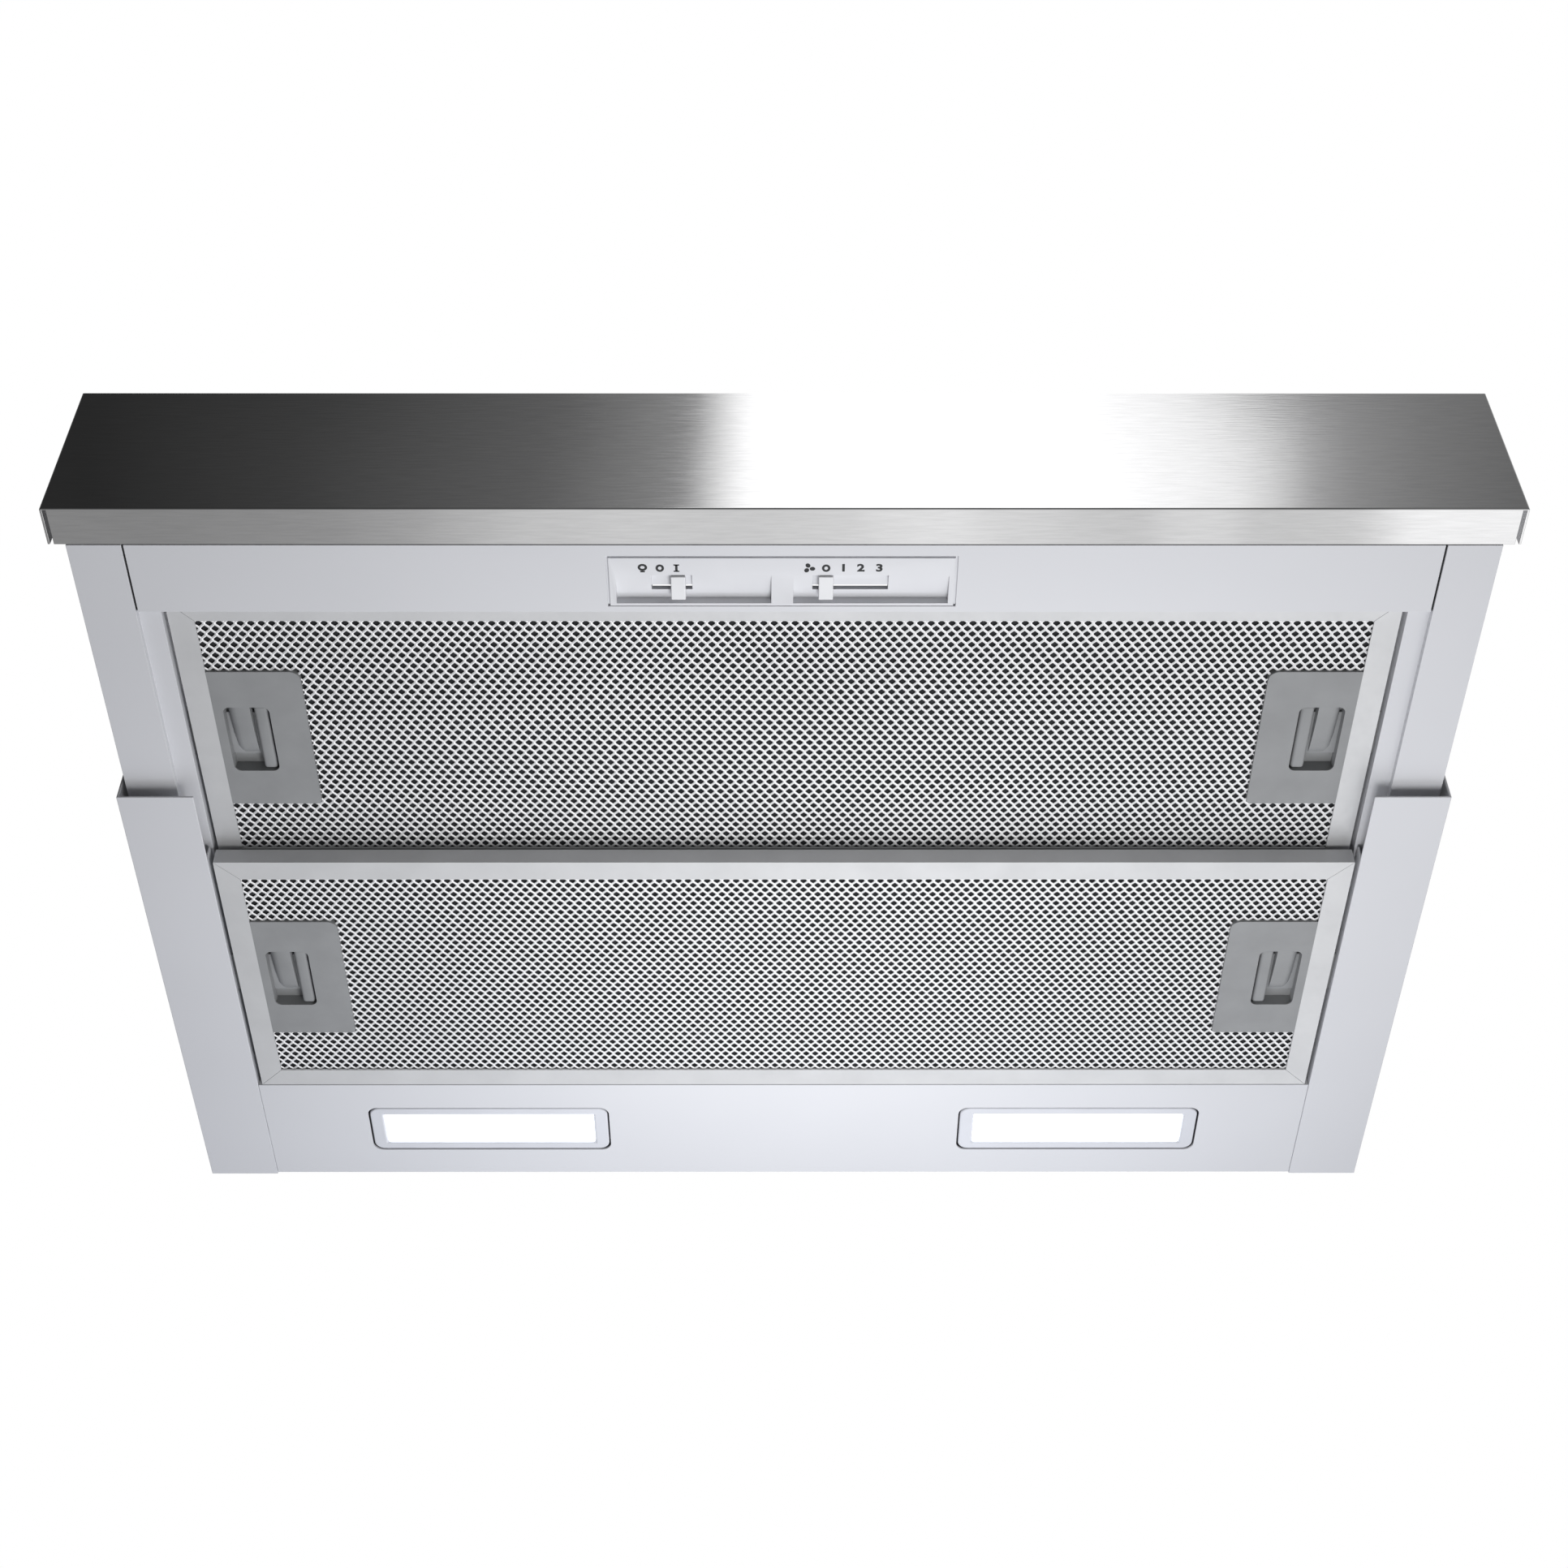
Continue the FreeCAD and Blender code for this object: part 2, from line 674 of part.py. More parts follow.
def filter_set(place, title):
    """Grease filter: a folded frame round an outer mesh and a core of mesh layers."""
    start = f"{place}_filter"
    low = f"{place}_filter_low"
    half = f"{place}_filter_half"
    stop = f"{start} + filter_deep"
    frame = block(title + "Outer", (f"-{half}", half), (start, stop), (low, f"{low} + filter_tall"))
    window = block(title + "Window", (f"-({half} - filter_rail)", f"{half} - filter_rail"),
                   (f"{start} + filter_rail", f"{stop} - filter_rail"),
                   (f"{low} - sheet", f"{low} + filter_tall + sheet"))
    channel = block(title + "Channel", (f"-({half} - sheet)", f"{half} - sheet"),
                    (f"{start} + sheet", f"{stop} - sheet"),
                    (f"{low} + sheet", f"{low} + filter_tall - sheet"))
    slots = [latch_slot(f"{title}Slot_{side}", sign, place, f"{half} - 2 * sheet", f"{half} + sheet")
             for side, sign in SIDES]
    node(cut(title + "Frame", frame, [window, channel] + slots), f"{place}_filter_frame")
    for layer, bottom, top in (("mesh", "sheet", "core_low"), ("core", "core_low", "core_high")):
        plate = block(f"{title}{layer}_plate", (f"-({half} - sheet - seam)", f"{half} - sheet - seam"),
                      (f"{start} + sheet + seam", f"{stop} - sheet - seam"),
                      (f"{low} + {bottom}", f"{low} + {top}"))
        notches = [block(f"{title}{layer}_notch_{side}", span(sign, f"{half} - latch_in - play", half),
                         (f"{latch_middle(place)} - latch_long / 2 - play",
                          f"{latch_middle(place)} + latch_long / 2 + play"),
                         (low, f"{low} + filter_tall")) for side, sign in SIDES]
        node(cut(f"{title}{layer}", plate, notches), f"{place}_filter_{layer}")


def latch(place, title, side, sign):
    """Filter latch: a moulded base with a finger window, and the sprung slide in it."""
    half = f"{place}_filter_half"
    low = f"{place}_filter_low"
    middle = latch_middle(place)
    name = f"{title}Latch_{side}"
    near = f"{half} - latch_in"
    far = f"{half} - filter_rail"
    base = block(name + "_plate", span(sign, near, far),
                 (f"{middle} - latch_long / 2", f"{middle} + latch_long / 2"),
                 (low, f"{low} + latch_tall"))
    window = block(name + "_window", span(sign, f"{half} - window_in", f"{half} - window_out"),
                   (f"{middle} - window_long / 2", f"{middle} + window_long / 2"),
                   (f"{low} + latch_face", f"{low} + window_deep"))
    opening = block(name + "_opening", span(sign, f"{half} - opening_in", f"{half} - window_out"),
                    (f"{middle} - window_long / 2", f"{middle} + window_long / 2"),
                    (f"{low} - sheet", f"{low} + window_deep"))
    guide = latch_slot(name + "_guide", sign, place, f"{half} - window_in", half)
    housing = cut(name + "_base", base, [window, opening, guide])
    grip = block(name + "_grip", span(sign, f"{half} - grip_in", f"{half} - grip_out"),
                 (f"{middle} - window_long / 2 + play", f"{middle} + window_long / 2 - play"),
                 (f"{low} + latch_face + play", f"{low} + tongue_high"))
    tongue = block(name + "_tongue", span(sign, f"{half} - grip_in", f"{half} + tongue_out"),
                   (f"{middle} - tongue_long / 2", f"{middle} + tongue_long / 2"),
                   (f"{low} + tongue_low", f"{low} + tongue_high"))
    node(join(name + "_slide", [grip, tongue]), f"{place}_latch_slide_{side}")
    return housing


def latches(place, title):
    """The two latches of a filter: their bases are alike and share a node."""
    bases = [latch(place, title, side, sign) for side, sign in SIDES]
    node(group(title + "LatchBases", bases), f"{place}_latch_bases")


def control_insert():
    """Plastic plate with two sloping slots, each with a flat pane and a track through it."""
    low = "fascia_low"
    plate = block("InsertPlate", ("insert_left", "insert_right"), ("insert_front", "insert_back"),
                  (low, f"{low} + insert_tall"))
    flange = block("InsertFlange", ("insert_left - insert_flange", "insert_right + insert_flange"),
                   ("insert_front - insert_flange", "insert_back"),
                   (f"{low} + sheet", f"{low} + 2 * sheet"))
    section = [
        ("slot_front", f"{low} - sheet"),
        ("slot_back", f"{low} - sheet"),
        ("slot_back", f"{low} + slot_deep"),
        ("slot_front", low),
    ]
    cuts = []
    for control in ("light", "fan"):
        body = doc.addObject("PartDesign::Body", f"Insert_{control}_slot")
        sketch = outline(body, f"Insert_{control}_slope", "YZ_Plane", section, f"{control}_slot_left")
        pad(body, f"Insert_{control}_wedge", sketch, f"{control}_slot_right - {control}_slot_left")
        cuts.append(body)
        cuts.append(block(f"Insert_{control}_pane", (f"{control}_track_left", f"{control}_track_right"),
                          ("slot_front", "track_back"), (f"{low} - sheet", f"{low} + pane_deep")))
        cuts.append(block(f"Insert_{control}_track", (f"{control}_track_left", f"{control}_track_right"),
                          ("track_front", "track_back"), (low, f"{low} + insert_tall + sheet")))
    node(cut("Insert", join("InsertAndFlange", [plate, flange]), cuts), "control_insert")


def slide_switch(control):
    """Slide switch above the insert, and the knob that the user moves."""
    low = "fascia_low + insert_tall"
    case = block(f"Switch_{control}_case", (f"{control}_slot_left", f"{control}_slot_right"),
                 ("switch_front", "switch_back"), (low, f"{low} + switch_tall"))
    groove = block(f"Switch_{control}_groove", (f"{control}_track_left", f"{control}_track_right"),
                   ("track_front", "switch_back + sheet"), (f"{low} - sheet", f"{low} + groove_deep"))
    node(cut(f"Switch_{control}", case, [groove]), f"{control}_switch")
    middle = f"{control}_knob_x"
    cap_top = "fascia_low + pane_deep - play"
    cap = block(f"Knob_{control}_cap", (f"{middle} - knob_wide / 2", f"{middle} + knob_wide / 2"),
                ("slot_front + play", "knob_back"), (f"{cap_top} - knob_tall", cap_top))
    stem = block(f"Knob_{control}_stem", (f"{middle} - stem_wide / 2", f"{middle} + stem_wide / 2"),
                 ("track_front + play", "track_back - play"), (cap_top, f"{cap_top} + stem_tall"))
    node(join(f"Knob_{control}", [cap, stem]), f"{control}_slider_knob")


def outer_rail(side, sign):
    """Fixed channel of a ball slide, against the tray's side."""
    name = "OuterRail_" + side
    web = span(sign, "body_half - sheet - rail_sheet", "body_half - sheet")
    flange = span(sign, "outer_rail_in", "body_half - sheet")
    length = ("outer_rail_front", "outer_rail_back")
    pieces = [
        block(name + "_web", web, length, ("rail_low", "rail_high")),
        block(name + "_low", flange, length, ("rail_low", "rail_low + rail_sheet")),
        block(name + "_high", flange, length, ("rail_high - rail_sheet", "rail_high")),
    ]
    node(join(name, pieces), f"outer_rail_{side}")


def inner_rail(side, sign):
    """Moving channel of a ball slide, on the drawer's wall."""
    name = "InnerRail_" + side
    low = "rail_low + inner_rail_gap"
    high = "rail_high - inner_rail_gap"
    web = span(sign, "wall_x", "wall_x + rail_sheet")
    flange = span(sign, "wall_x", "inner_rail_out")
    length = ("inner_rail_front", "inner_rail_back")
    pieces = [
        block(name + "_web", web, length, (low, high)),
        block(name + "_low", flange, length, (low, f"{low} + rail_sheet")),
        block(name + "_high", flange, length, (f"{high} - rail_sheet", high)),
    ]
    node(join(name, pieces), f"inner_rail_{side}")


def ball_places(side, sign):
    """Centres of a slide's balls, in two rows."""
    x = "ball_x" if sign > 0 else "-ball_x"
    step = "cage_long / ball_count"
    rows = ("ball_low", "ball_high")
    return [(x, f"cage_front + {step} * ({count} + 0.5)", z)
            for z in rows for count in range(SIZES["ball_count"])]


def ball_cage(side, sign):
    """Cage that spaces the balls of one slide, and the balls themselves."""
    name = "Cage_" + side
    length = ("cage_front", "cage_front + cage_long")
    tab = span(sign, "cage_in", "cage_x + cage_sheet")
    half = "cage_sheet / 2"
    pieces = [block(name + "_web", span(sign, "cage_x", "cage_x + cage_sheet"), length,
                    (f"ball_low - {half}", f"ball_high + {half}"))]
    for row in ("ball_low", "ball_high"):
        pieces.append(block(f"{name}_{row}", tab, length, (f"{row} - {half}", f"{row} + {half}")))
    holes = []
    balls = []
    for x, y, z in ball_places(side, sign):
        holes.append(rod(f"{name}_hole{len(holes)}", "ball_hole", (x, y, f"{z} - sheet"),
                         "2 * sheet", "z"))
        ball = doc.addObject("Part::Sphere", f"Ball_{side}{len(balls)}")
        bind(ball, "Radius", "ball")
        for letter, place in zip("xyz", (x, y, z)):
            bind(ball, "Placement.Base." + letter, place)
        balls.append(ball)
    return cut(name, join(name + "_strip", pieces), holes), balls


def ball_cages():
    """Both cages, which travel together at half the drawer's speed, and all their balls."""
    cages = []
    balls = []
    for side, sign in SIDES:
        cage, its_balls = ball_cage(side, sign)
        cages.append(cage)
        balls += its_balls
    node(group("Cages", cages), "ball_cages")
    node(group("Balls", balls), "bearing_balls")


def scroll_half(side, sign):
    """Half of the blower's housing: a drum with an outlet at its top and an intake at its end."""
    name = "Scroll_" + side
    start = "0" if sign > 0 else "-scroll_half"
    outer = join(name + "_outer", [
        rod(name + "_drum", "scroll", (start, "fan_y", "fan_z"), "scroll_half", "x"),
        block(name + "_neck", span(sign, "0", "scroll_half"), ("fan_y - scroll", "outlet_back"),
              ("fan_z", "box_top")),
    ])
    room_start = "-sheet" if sign > 0 else "-(scroll_half - scroll_wall)"
    room = "scroll_half - scroll_wall + sheet"
    inner = join(name + "_inner", [
        rod(name + "_room", "scroll - scroll_wall", (room_start, "fan_y", "fan_z"), room, "x"),
        block(name + "_throat", span(sign, "-sheet", "scroll_half - scroll_wall"),
              ("fan_y - scroll + scroll_wall", "outlet_back - scroll_wall"),
              ("fan_z", "box_top + sheet")),
    ])
    eye_start = "scroll_half - 2 * scroll_wall" if sign > 0 else "-(scroll_half + scroll_wall)"
    eye = rod(name + "_eye", "intake", (eye_start, "fan_y", "fan_z"), "3 * scroll_wall", "x")
    node(cut(name + "_half", outer, [inner, eye]), f"blower_housing_{side}")


def impeller():
    """Double-inlet wheel: a middle disc and hub, blades both ways, and end rings."""
    body = doc.addObject("PartDesign::Body", "WheelBody")
    bind(body, "Placement.Base.y", "fan_y")
    bind(body, "Placement.Base.z", "fan_z")
    disc = rings(body, "DiscSketch", "YZ_Plane", ["wheel", "shaft"], "-wheel_disc / 2")
    pad(body, "Disc", disc, "wheel_disc")
    hub = rings(body, "HubSketch", "YZ_Plane", ["wheel_hub", "shaft"], "-hub_half")
    pad(body, "Hub", hub, "2 * hub_half")
    left_ring = rings(body, "LeftRingSketch", "YZ_Plane", ["wheel", "wheel_in"], "-wheel_half")
    right_ring = rings(body, "RightRingSketch", "YZ_Plane", ["wheel", "wheel_in"],
                       "wheel_half - wheel_ring")
    blade = outline(body, "BladeSketch", "YZ_Plane", [
        ("wheel_in", "-blade_thick / 2"),
        ("wheel - blade_inset", "-blade_thick / 2"),
        ("wheel - blade_inset", "blade_thick / 2"),
        ("wheel_in", "blade_thick / 2"),
    ], "-wheel_half")
    blade_pad = pad(body, "Blade", blade, "2 * wheel_half")
    doc.recompute()
    pattern = body.newObject("PartDesign::PolarPattern", "Blades")
    pattern.Originals = [blade_pad]
    x_axis = [part for part in body.Origin.OriginFeatures if part.Role == "X_Axis"][0]
    pattern.Axis = (x_axis, [""])
    pattern.Angle = 360
    bind(pattern, "Occurrences", "blade_count")
    body.Tip = pattern
    pad(body, "LeftRing", left_ring, "wheel_ring")
    pad(body, "RightRing", right_ring, "wheel_ring")
    node(body, "impeller")


def motor_parts():
    """Shaft, nut, motor, its bracket and the three bushes that the bracket stands on."""
    centre = ("fan_y", "fan_z")
    node(rod("Shaft", "shaft", ("shaft_left",) + centre, "shaft_right - shaft_left", "x"), "motor_shaft")
    nut = rod("NutBody", "nut", ("shaft_left + sheet",) + centre, "-shaft_left - hub_half - sheet", "x")
    bore = rod("NutBore", "shaft", ("shaft_left",) + centre, "-shaft_left", "x")
    node(cut("Nut", nut, [bore]), "impeller_nut")
    back = "scroll_half + bush_tall"
    can = rod("MotorCan", "motor", ("motor_left",) + centre, f"{back} - motor_left", "x")
    boss = rod("MotorBoss", "motor_boss", ("motor_left - boss_out",) + centre, "boss_out + sheet", "x")
    hollow = rod("MotorBore", "shaft_bore", ("motor_left - 2 * boss_out",) + centre,
                 "shaft_right - motor_left + 3 * boss_out", "x")
    node(cut("Motor", join("MotorBody", [can, boss]), [hollow]), "motor")
    plate = [rod("BracketHub", "bracket_hub", (back,) + centre, "bracket_thick", "x")]
    bushes = []
    for arm, turn in enumerate((0, 120, 240)):
        foot = (f"fan_y - bush_ring * sin({turn})", f"fan_z + bush_ring * cos({turn})")
        plate.append(rod(f"BracketFoot{arm}", "bracket_arm / 2", (back,) + foot, "bracket_thick", "x"))
        strut = block(f"BracketArm{arm}", (back, f"{back} + bracket_thick"),
                      ("-bracket_arm / 2", "bracket_arm / 2"), ("0", "bush_ring"))
        strut.Placement.Rotation = Rotation(Vector(1, 0, 0), turn)
        bind(strut, "Placement.Base.y", f"fan_y - bracket_arm / 2 * cos({turn})")
        bind(strut, "Placement.Base.z", f"fan_z - bracket_arm / 2 * sin({turn})")
        plate.append(strut)
        bushes.append(rod(f"Bush{arm}", "bush", ("scroll_half",) + foot, "bush_tall", "x"))
    node(join("Bracket", plate), "motor_bracket")
    node(group("Bushes", bushes), "motor_bushes")


def spigot():
    """Round outlet for the duct."""
    body = doc.addObject("PartDesign::Body", "SpigotBody")
    bind(body, "Placement.Base.y", "spigot_y")
    low = "box_top + sheet"
    section = [
        ("spigot - spigot_wall", low),
        ("spigot_flange", low),
        ("spigot_flange", f"{low} + flange_thick"),
        ("spigot", f"{low} + flange_thick"),
        ("spigot", f"{low} + spigot_tall"),
        ("spigot - spigot_wall", f"{low} + spigot_tall"),
    ]
    sketch = outline(body, "SpigotSection", "XZ_Plane", section)
    turned = body.newObject("PartDesign::Revolution", "SpigotTurn")
    turned.Profile = sketch
    turned.ReferenceAxis = (sketch, ["V_Axis"])
    turned.Angle = 360
    holes = rod("SpigotPinHole", "pin", ("-spigot - sheet", "spigot_y", "pin_z"), "2 * (spigot + sheet)", "x")
    node(cut("Spigot", body, [holes]), "duct_spigot")
    node(rod("FlapPin", "pin", ("-spigot", "spigot_y", "pin_z"), "2 * spigot", "x"), "flap_pin")


def flap(side, sign, first):
    """Half-round back-draft flap with two knuckles on the pin."""
    name = "Flap_" + side
    disc = rod(name + "_disc", "flap", ("0", "spigot_y", "pin_z - flap_thick / 2"), "flap_thick", "z")
    near, far = ("flap_in", "flap") if sign > 0 else ("-flap", "-flap_in")
    keep = block(name + "_keep", ("-flap", "flap"), (f"spigot_y + ({near})", f"spigot_y + ({far})"),
                 ("pin_z - knuckle", "pin_z + knuckle"))
    half = doc.addObject("Part::Common", name + "_half")
    half.Base = disc
    half.Tool = keep
    pieces = [half]
    bores = []
    for count in range(2):
        start = f"{first} + {2 * count} * knuckle_step"
        pieces.append(rod(f"{name}_knuckle{count}", "knuckle", (start, "spigot_y", "pin_z"),
                          "knuckle_long", "x"))
        bridge = ("0", "flap_in + sheet") if sign > 0 else ("-flap_in - sheet", "0")
        pieces.append(block(f"{name}_bridge{count}", (start, f"{start} + knuckle_long"),
                            (f"spigot_y + ({bridge[0]})", f"spigot_y + ({bridge[1]})"),
                            ("pin_z - flap_thick / 2", "pin_z + flap_thick / 2")))
    bores.append(rod(name + "_bore", "pin_bore", ("-flap", "spigot_y", "pin_z"), "2 * flap", "x"))
    node(cut(name, join(name + "_leaf", pieces), bores), f"backdraft_flap_{side}")


def electrics():
    """Capacitor and clip, wiring box, lamp driver and cable gland, all under the lid."""
    top = "box_top"
    centre = ("capacitor_x", f"{top} - capacitor - clip_thick")
    can = rod("Capacitor", "capacitor", (centre[0], "capacitor_front", centre[1]), "capacitor_long", "y")
    node(can, "run_capacitor")
    band = rod("ClipBand", "capacitor + clip_thick",
               (centre[0], "capacitor_front + clip_wide", centre[1]), "clip_wide", "y")
    ear = block("ClipEar", ("capacitor_x - capacitor - clip_wide", "capacitor_x + capacitor + clip_wide"),
                ("capacitor_front + clip_wide", "capacitor_front + 2 * clip_wide"),
                (f"{top} - clip_thick", top))
    hole = rod("ClipHole", "capacitor", (centre[0], "capacitor_front", centre[1]), "capacitor_long", "y")
    node(cut("Clip", join("ClipStrap", [band, ear]), [hole]), "capacitor_clip")

    wall = "wiring_wall"
    outer = block("WiringOuter", ("wiring_left", "wiring_right"), ("wiring_front", "wiring_back"),
                  ("wiring_low", top))
    inner = block("WiringInner", (f"wiring_left + {wall}", f"wiring_right - {wall}"),
                  (f"wiring_front + {wall}", f"wiring_back - {wall}"),
                  (f"wiring_low + {wall}", f"{top} + sheet"))
    node(cut("WiringBox", outer, [inner]), "wiring_box")
    node(block("Driver", ("driver_left", "driver_right"), ("driver_front", "driver_back"),
               (f"{top} - driver_tall", top)), "lamp_driver")

    gland = join("GlandBody", [
        rod("GlandThread", "gland", ("gland_x", "gland_y", f"{top} - 3 * {wall}"),
            f"3 * {wall} + sheet", "z"),
        rod("GlandDome", "gland_nut", ("gland_x", "gland_y", f"{top} + sheet"), "gland_tall", "z"),
    ])
    way = rod("GlandWay", "gland_bore", ("gland_x", "gland_y", f"{top} - 4 * {wall}"),
              f"gland_tall + 6 * {wall}", "z")
    node(cut("Gland", gland, [way]), "cable_gland")


def bumpers():
    """Rubber stops that the closing drawer's sides meet."""
    pads = []
    for x in ("-wall_x + sheet / 2", "wall_x - sheet / 2"):
        pads.append(rod(f"Bumper{len(pads)}", "bumper", (x, "body_back - sheet - bumper_tall", "bumper_z"),
                        "bumper_tall", "y"))
    node(group("Bumpers", pads), "drawer_bumpers")


def check_everything():
    """Stop before writing if any feature failed or any sub-part isn't sound."""
    for thing in doc.Objects:
        if "Invalid" in thing.State or "Error" in thing.State:
            raise ValueError(f"{thing.Name} is {thing.State}")
    labels = [piece.Label for piece in nodes]
    if len(set(labels)) != len(labels):
        raise ValueError("two sub-parts share a label")
    for piece in nodes:
        if piece.Shape.isNull() or not piece.Shape.isValid():
            raise ValueError(piece.Label + " has no sound shape")


fascia()
fascia_stiffener()
front_panel()
fascia_screws()
drawer_rear_bar()
tray_top()
tray_rear()
lamp_panel()
motor_box()
motor_box_lid()
case_screws()
control_insert()
impeller()
motor_parts()
spigot()
electrics()
bumpers()
ball_cages()
for control in ("light", "fan"):
    slide_switch(control)
for place, title in (("front", "Front"), ("rear", "Rear")):
    filter_set(place, title)
    latches(place, title)
for side, sign in SIDES:
    drawer_side(side, sign)
    tray_side(side, sign)
    lamp(side, "-lamp_x" if sign < 0 else "lamp_x")
    outer_rail(side, sign)
    inner_rail(side, sign)
    scroll_half(side, sign)
flap("front", -1, "-spigot / 2 - knuckle_long")
flap("rear", 1, "-spigot / 2 - knuckle_long + knuckle_step")

doc.recompute()
check_everything()
os.makedirs("parts", exist_ok=True)
for piece in nodes:
    piece.Shape.exportStep(f"parts/{piece.Label}.step")
print(len(nodes), "sub-parts written")
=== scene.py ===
import json
import math
import bmesh
import bpy
from mathutils import Matrix, Vector


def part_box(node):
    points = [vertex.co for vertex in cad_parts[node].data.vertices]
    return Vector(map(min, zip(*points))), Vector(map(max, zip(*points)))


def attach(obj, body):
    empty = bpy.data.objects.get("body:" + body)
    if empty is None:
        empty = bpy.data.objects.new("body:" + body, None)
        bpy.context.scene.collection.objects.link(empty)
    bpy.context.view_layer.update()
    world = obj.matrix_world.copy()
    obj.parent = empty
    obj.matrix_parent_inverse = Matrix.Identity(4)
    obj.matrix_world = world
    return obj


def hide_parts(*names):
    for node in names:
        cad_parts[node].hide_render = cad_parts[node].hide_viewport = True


mm = 0.001
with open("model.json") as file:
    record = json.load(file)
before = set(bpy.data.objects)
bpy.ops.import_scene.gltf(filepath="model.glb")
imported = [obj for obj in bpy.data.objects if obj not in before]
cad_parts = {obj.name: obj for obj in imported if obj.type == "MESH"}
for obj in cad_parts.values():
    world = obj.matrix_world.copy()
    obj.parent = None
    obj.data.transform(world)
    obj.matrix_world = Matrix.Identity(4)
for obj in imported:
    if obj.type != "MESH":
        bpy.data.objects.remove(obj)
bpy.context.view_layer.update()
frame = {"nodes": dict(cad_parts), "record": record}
nodes = frame["nodes"]
bodyOf = {name: body for body, names in frame["record"]["behaviour"]["bodies"].items() for name in names}
print("frame loaded,", len(nodes), "nodes")

# finishes. grain is the scale of the fine pattern along X, Y and Z, per metre
finishes = {
    "stainless": {
        "colour": (0.66, 0.66, 0.665), "metallic": 1.0, "roughness": (0.04, 0.09), "tone": (0.92, 1.0),
        "clouds": (80, 900, 900), "grain": (90, 1600, 1600), "relief": 0.018,
    },
    "galvanised_steel": {
        "colour": (0.60, 0.62, 0.64), "metallic": 0.9, "roughness": (0.34, 0.52), "tone": (0.78, 1.05),
        "clouds": (70, 70, 70), "grain": (500, 500, 500), "relief": 0.02, "spangle": True,
    },
    "painted_steel": {
        "colour": (0.63, 0.635, 0.66), "metallic": 0.0, "roughness": (0.36, 0.48), "tone": (0.97, 1.0),
        "clouds": (9, 9, 9), "grain": (1800, 1800, 1800), "relief": 0.012,
    },
    "zinc_steel": {
        "colour": (0.66, 0.65, 0.62), "metallic": 1.0, "roughness": (0.24, 0.38), "tone": (0.85, 1.0),
        "clouds": (60, 60, 60), "grain": (900, 900, 900), "relief": 0.02,
    },
    "bearing_steel": {
        "colour": (0.74, 0.74, 0.74), "metallic": 1.0, "roughness": (0.07, 0.14), "tone": (0.94, 1.0),
        "clouds": (90, 90, 90), "grain": (700, 700, 700), "relief": 0.005,
    },
    "motor_steel": {
        "colour": (0.42, 0.43, 0.45), "metallic": 0.9, "roughness": (0.36, 0.5), "tone": (0.8, 1.0),
        "clouds": (40, 40, 40), "grain": (60, 1400, 1400), "relief": 0.03,
    },
    "filter_aluminium": {
        "colour": (0.66, 0.665, 0.675), "metallic": 0.35, "roughness": (0.36, 0.48), "tone": (0.92, 1.0),
        "clouds": (45, 45, 45), "grain": (420, 420, 420), "relief": 0.03,
    },
    "mesh_aluminium": {
        "colour": (0.94, 0.94, 0.95), "metallic": 0.4, "roughness": (0.3, 0.42), "tone": (0.94, 1.0),
        "clouds": (120, 120, 120), "grain": (900, 900, 900), "relief": 0.01,
    },
    # core: aluminium layers coloured near black, painted shade for the dark deep behind the expanded mesh
    "core_aluminium": {
        "colour": (0.035, 0.036, 0.04), "metallic": 0.3, "roughness": (0.6, 0.8), "tone": (0.5, 1.1),
        "clouds": (220, 220, 220), "grain": (700, 700, 700), "relief": 0.25,
    },
    "latch_plastic": {
        "colour": (0.265, 0.27, 0.275), "metallic": 0.0, "roughness": (0.46, 0.58), "tone": (0.93, 1.04),
        "clouds": (60, 60, 60), "grain": (1500, 1500, 1500), "relief": 0.03,
    },
    "control_plastic": {
        "colour": (0.66, 0.665, 0.69), "metallic": 0.0, "roughness": (0.4, 0.5), "tone": (0.97, 1.0),
        "clouds": (50, 50, 50), "grain": (2000, 2000, 2000), "relief": 0.02,
    },
    "knob_plastic": {
        "colour": (0.74, 0.745, 0.76), "metallic": 0.0, "roughness": (0.36, 0.46), "tone": (0.96, 1.0),
        "clouds": (80, 80, 80), "grain": (2000, 2000, 2000), "relief": 0.015,
    },
    "case_plastic": {
        "colour": (0.30, 0.31, 0.32), "metallic": 0.0, "roughness": (0.45, 0.6), "tone": (0.9, 1.05),
        "clouds": (40, 40, 40), "grain": (1300, 1300, 1300), "relief": 0.03,
    },
    "black_plastic": {
        "colour": (0.028, 0.029, 0.031), "metallic": 0.0, "roughness": (0.42, 0.58), "tone": (0.8, 1.1),
        "clouds": (50, 50, 50), "grain": (1300, 1300, 1300), "relief": 0.03,
    },
    "cage_plastic": {
        "colour": (0.72, 0.70, 0.64), "metallic": 0.0, "roughness": (0.4, 0.52), "tone": (0.93, 1.0),
        "clouds": (50, 50, 50), "grain": (1300, 1300, 1300), "relief": 0.02,
    },
    "lamp_plastic": {
        "colour": (0.62, 0.63, 0.67), "metallic": 0.0, "roughness": (0.3, 0.4), "tone": (0.95, 1.0),
        "clouds": (40, 40, 40), "grain": (1600, 1600, 1600), "relief": 0.015,
    },
    "lamp_diffuser": {
        "colour": (0.92, 0.94, 0.97), "metallic": 0.0, "roughness": (0.3, 0.42), "tone": (0.97, 1.0),
        "clouds": (30, 30, 30), "grain": (1200, 1200, 1200), "relief": 0.02, "glow": 1.15,
    },
    "rubber": {
        "colour": (0.022, 0.022, 0.024), "metallic": 0.0, "roughness": (0.7, 0.85), "tone": (0.8, 1.1),
        "clouds": (60, 60, 60), "grain": (900, 900, 900), "relief": 0.05,
    },
}


# the noise patterns: the part of their range that is used, their detail, and the strength of their relief
pattern = {"from": 0.3, "to": 0.7, "cloudDetail": 3.0, "grainDetail": 2.0, "bump": 0.6}


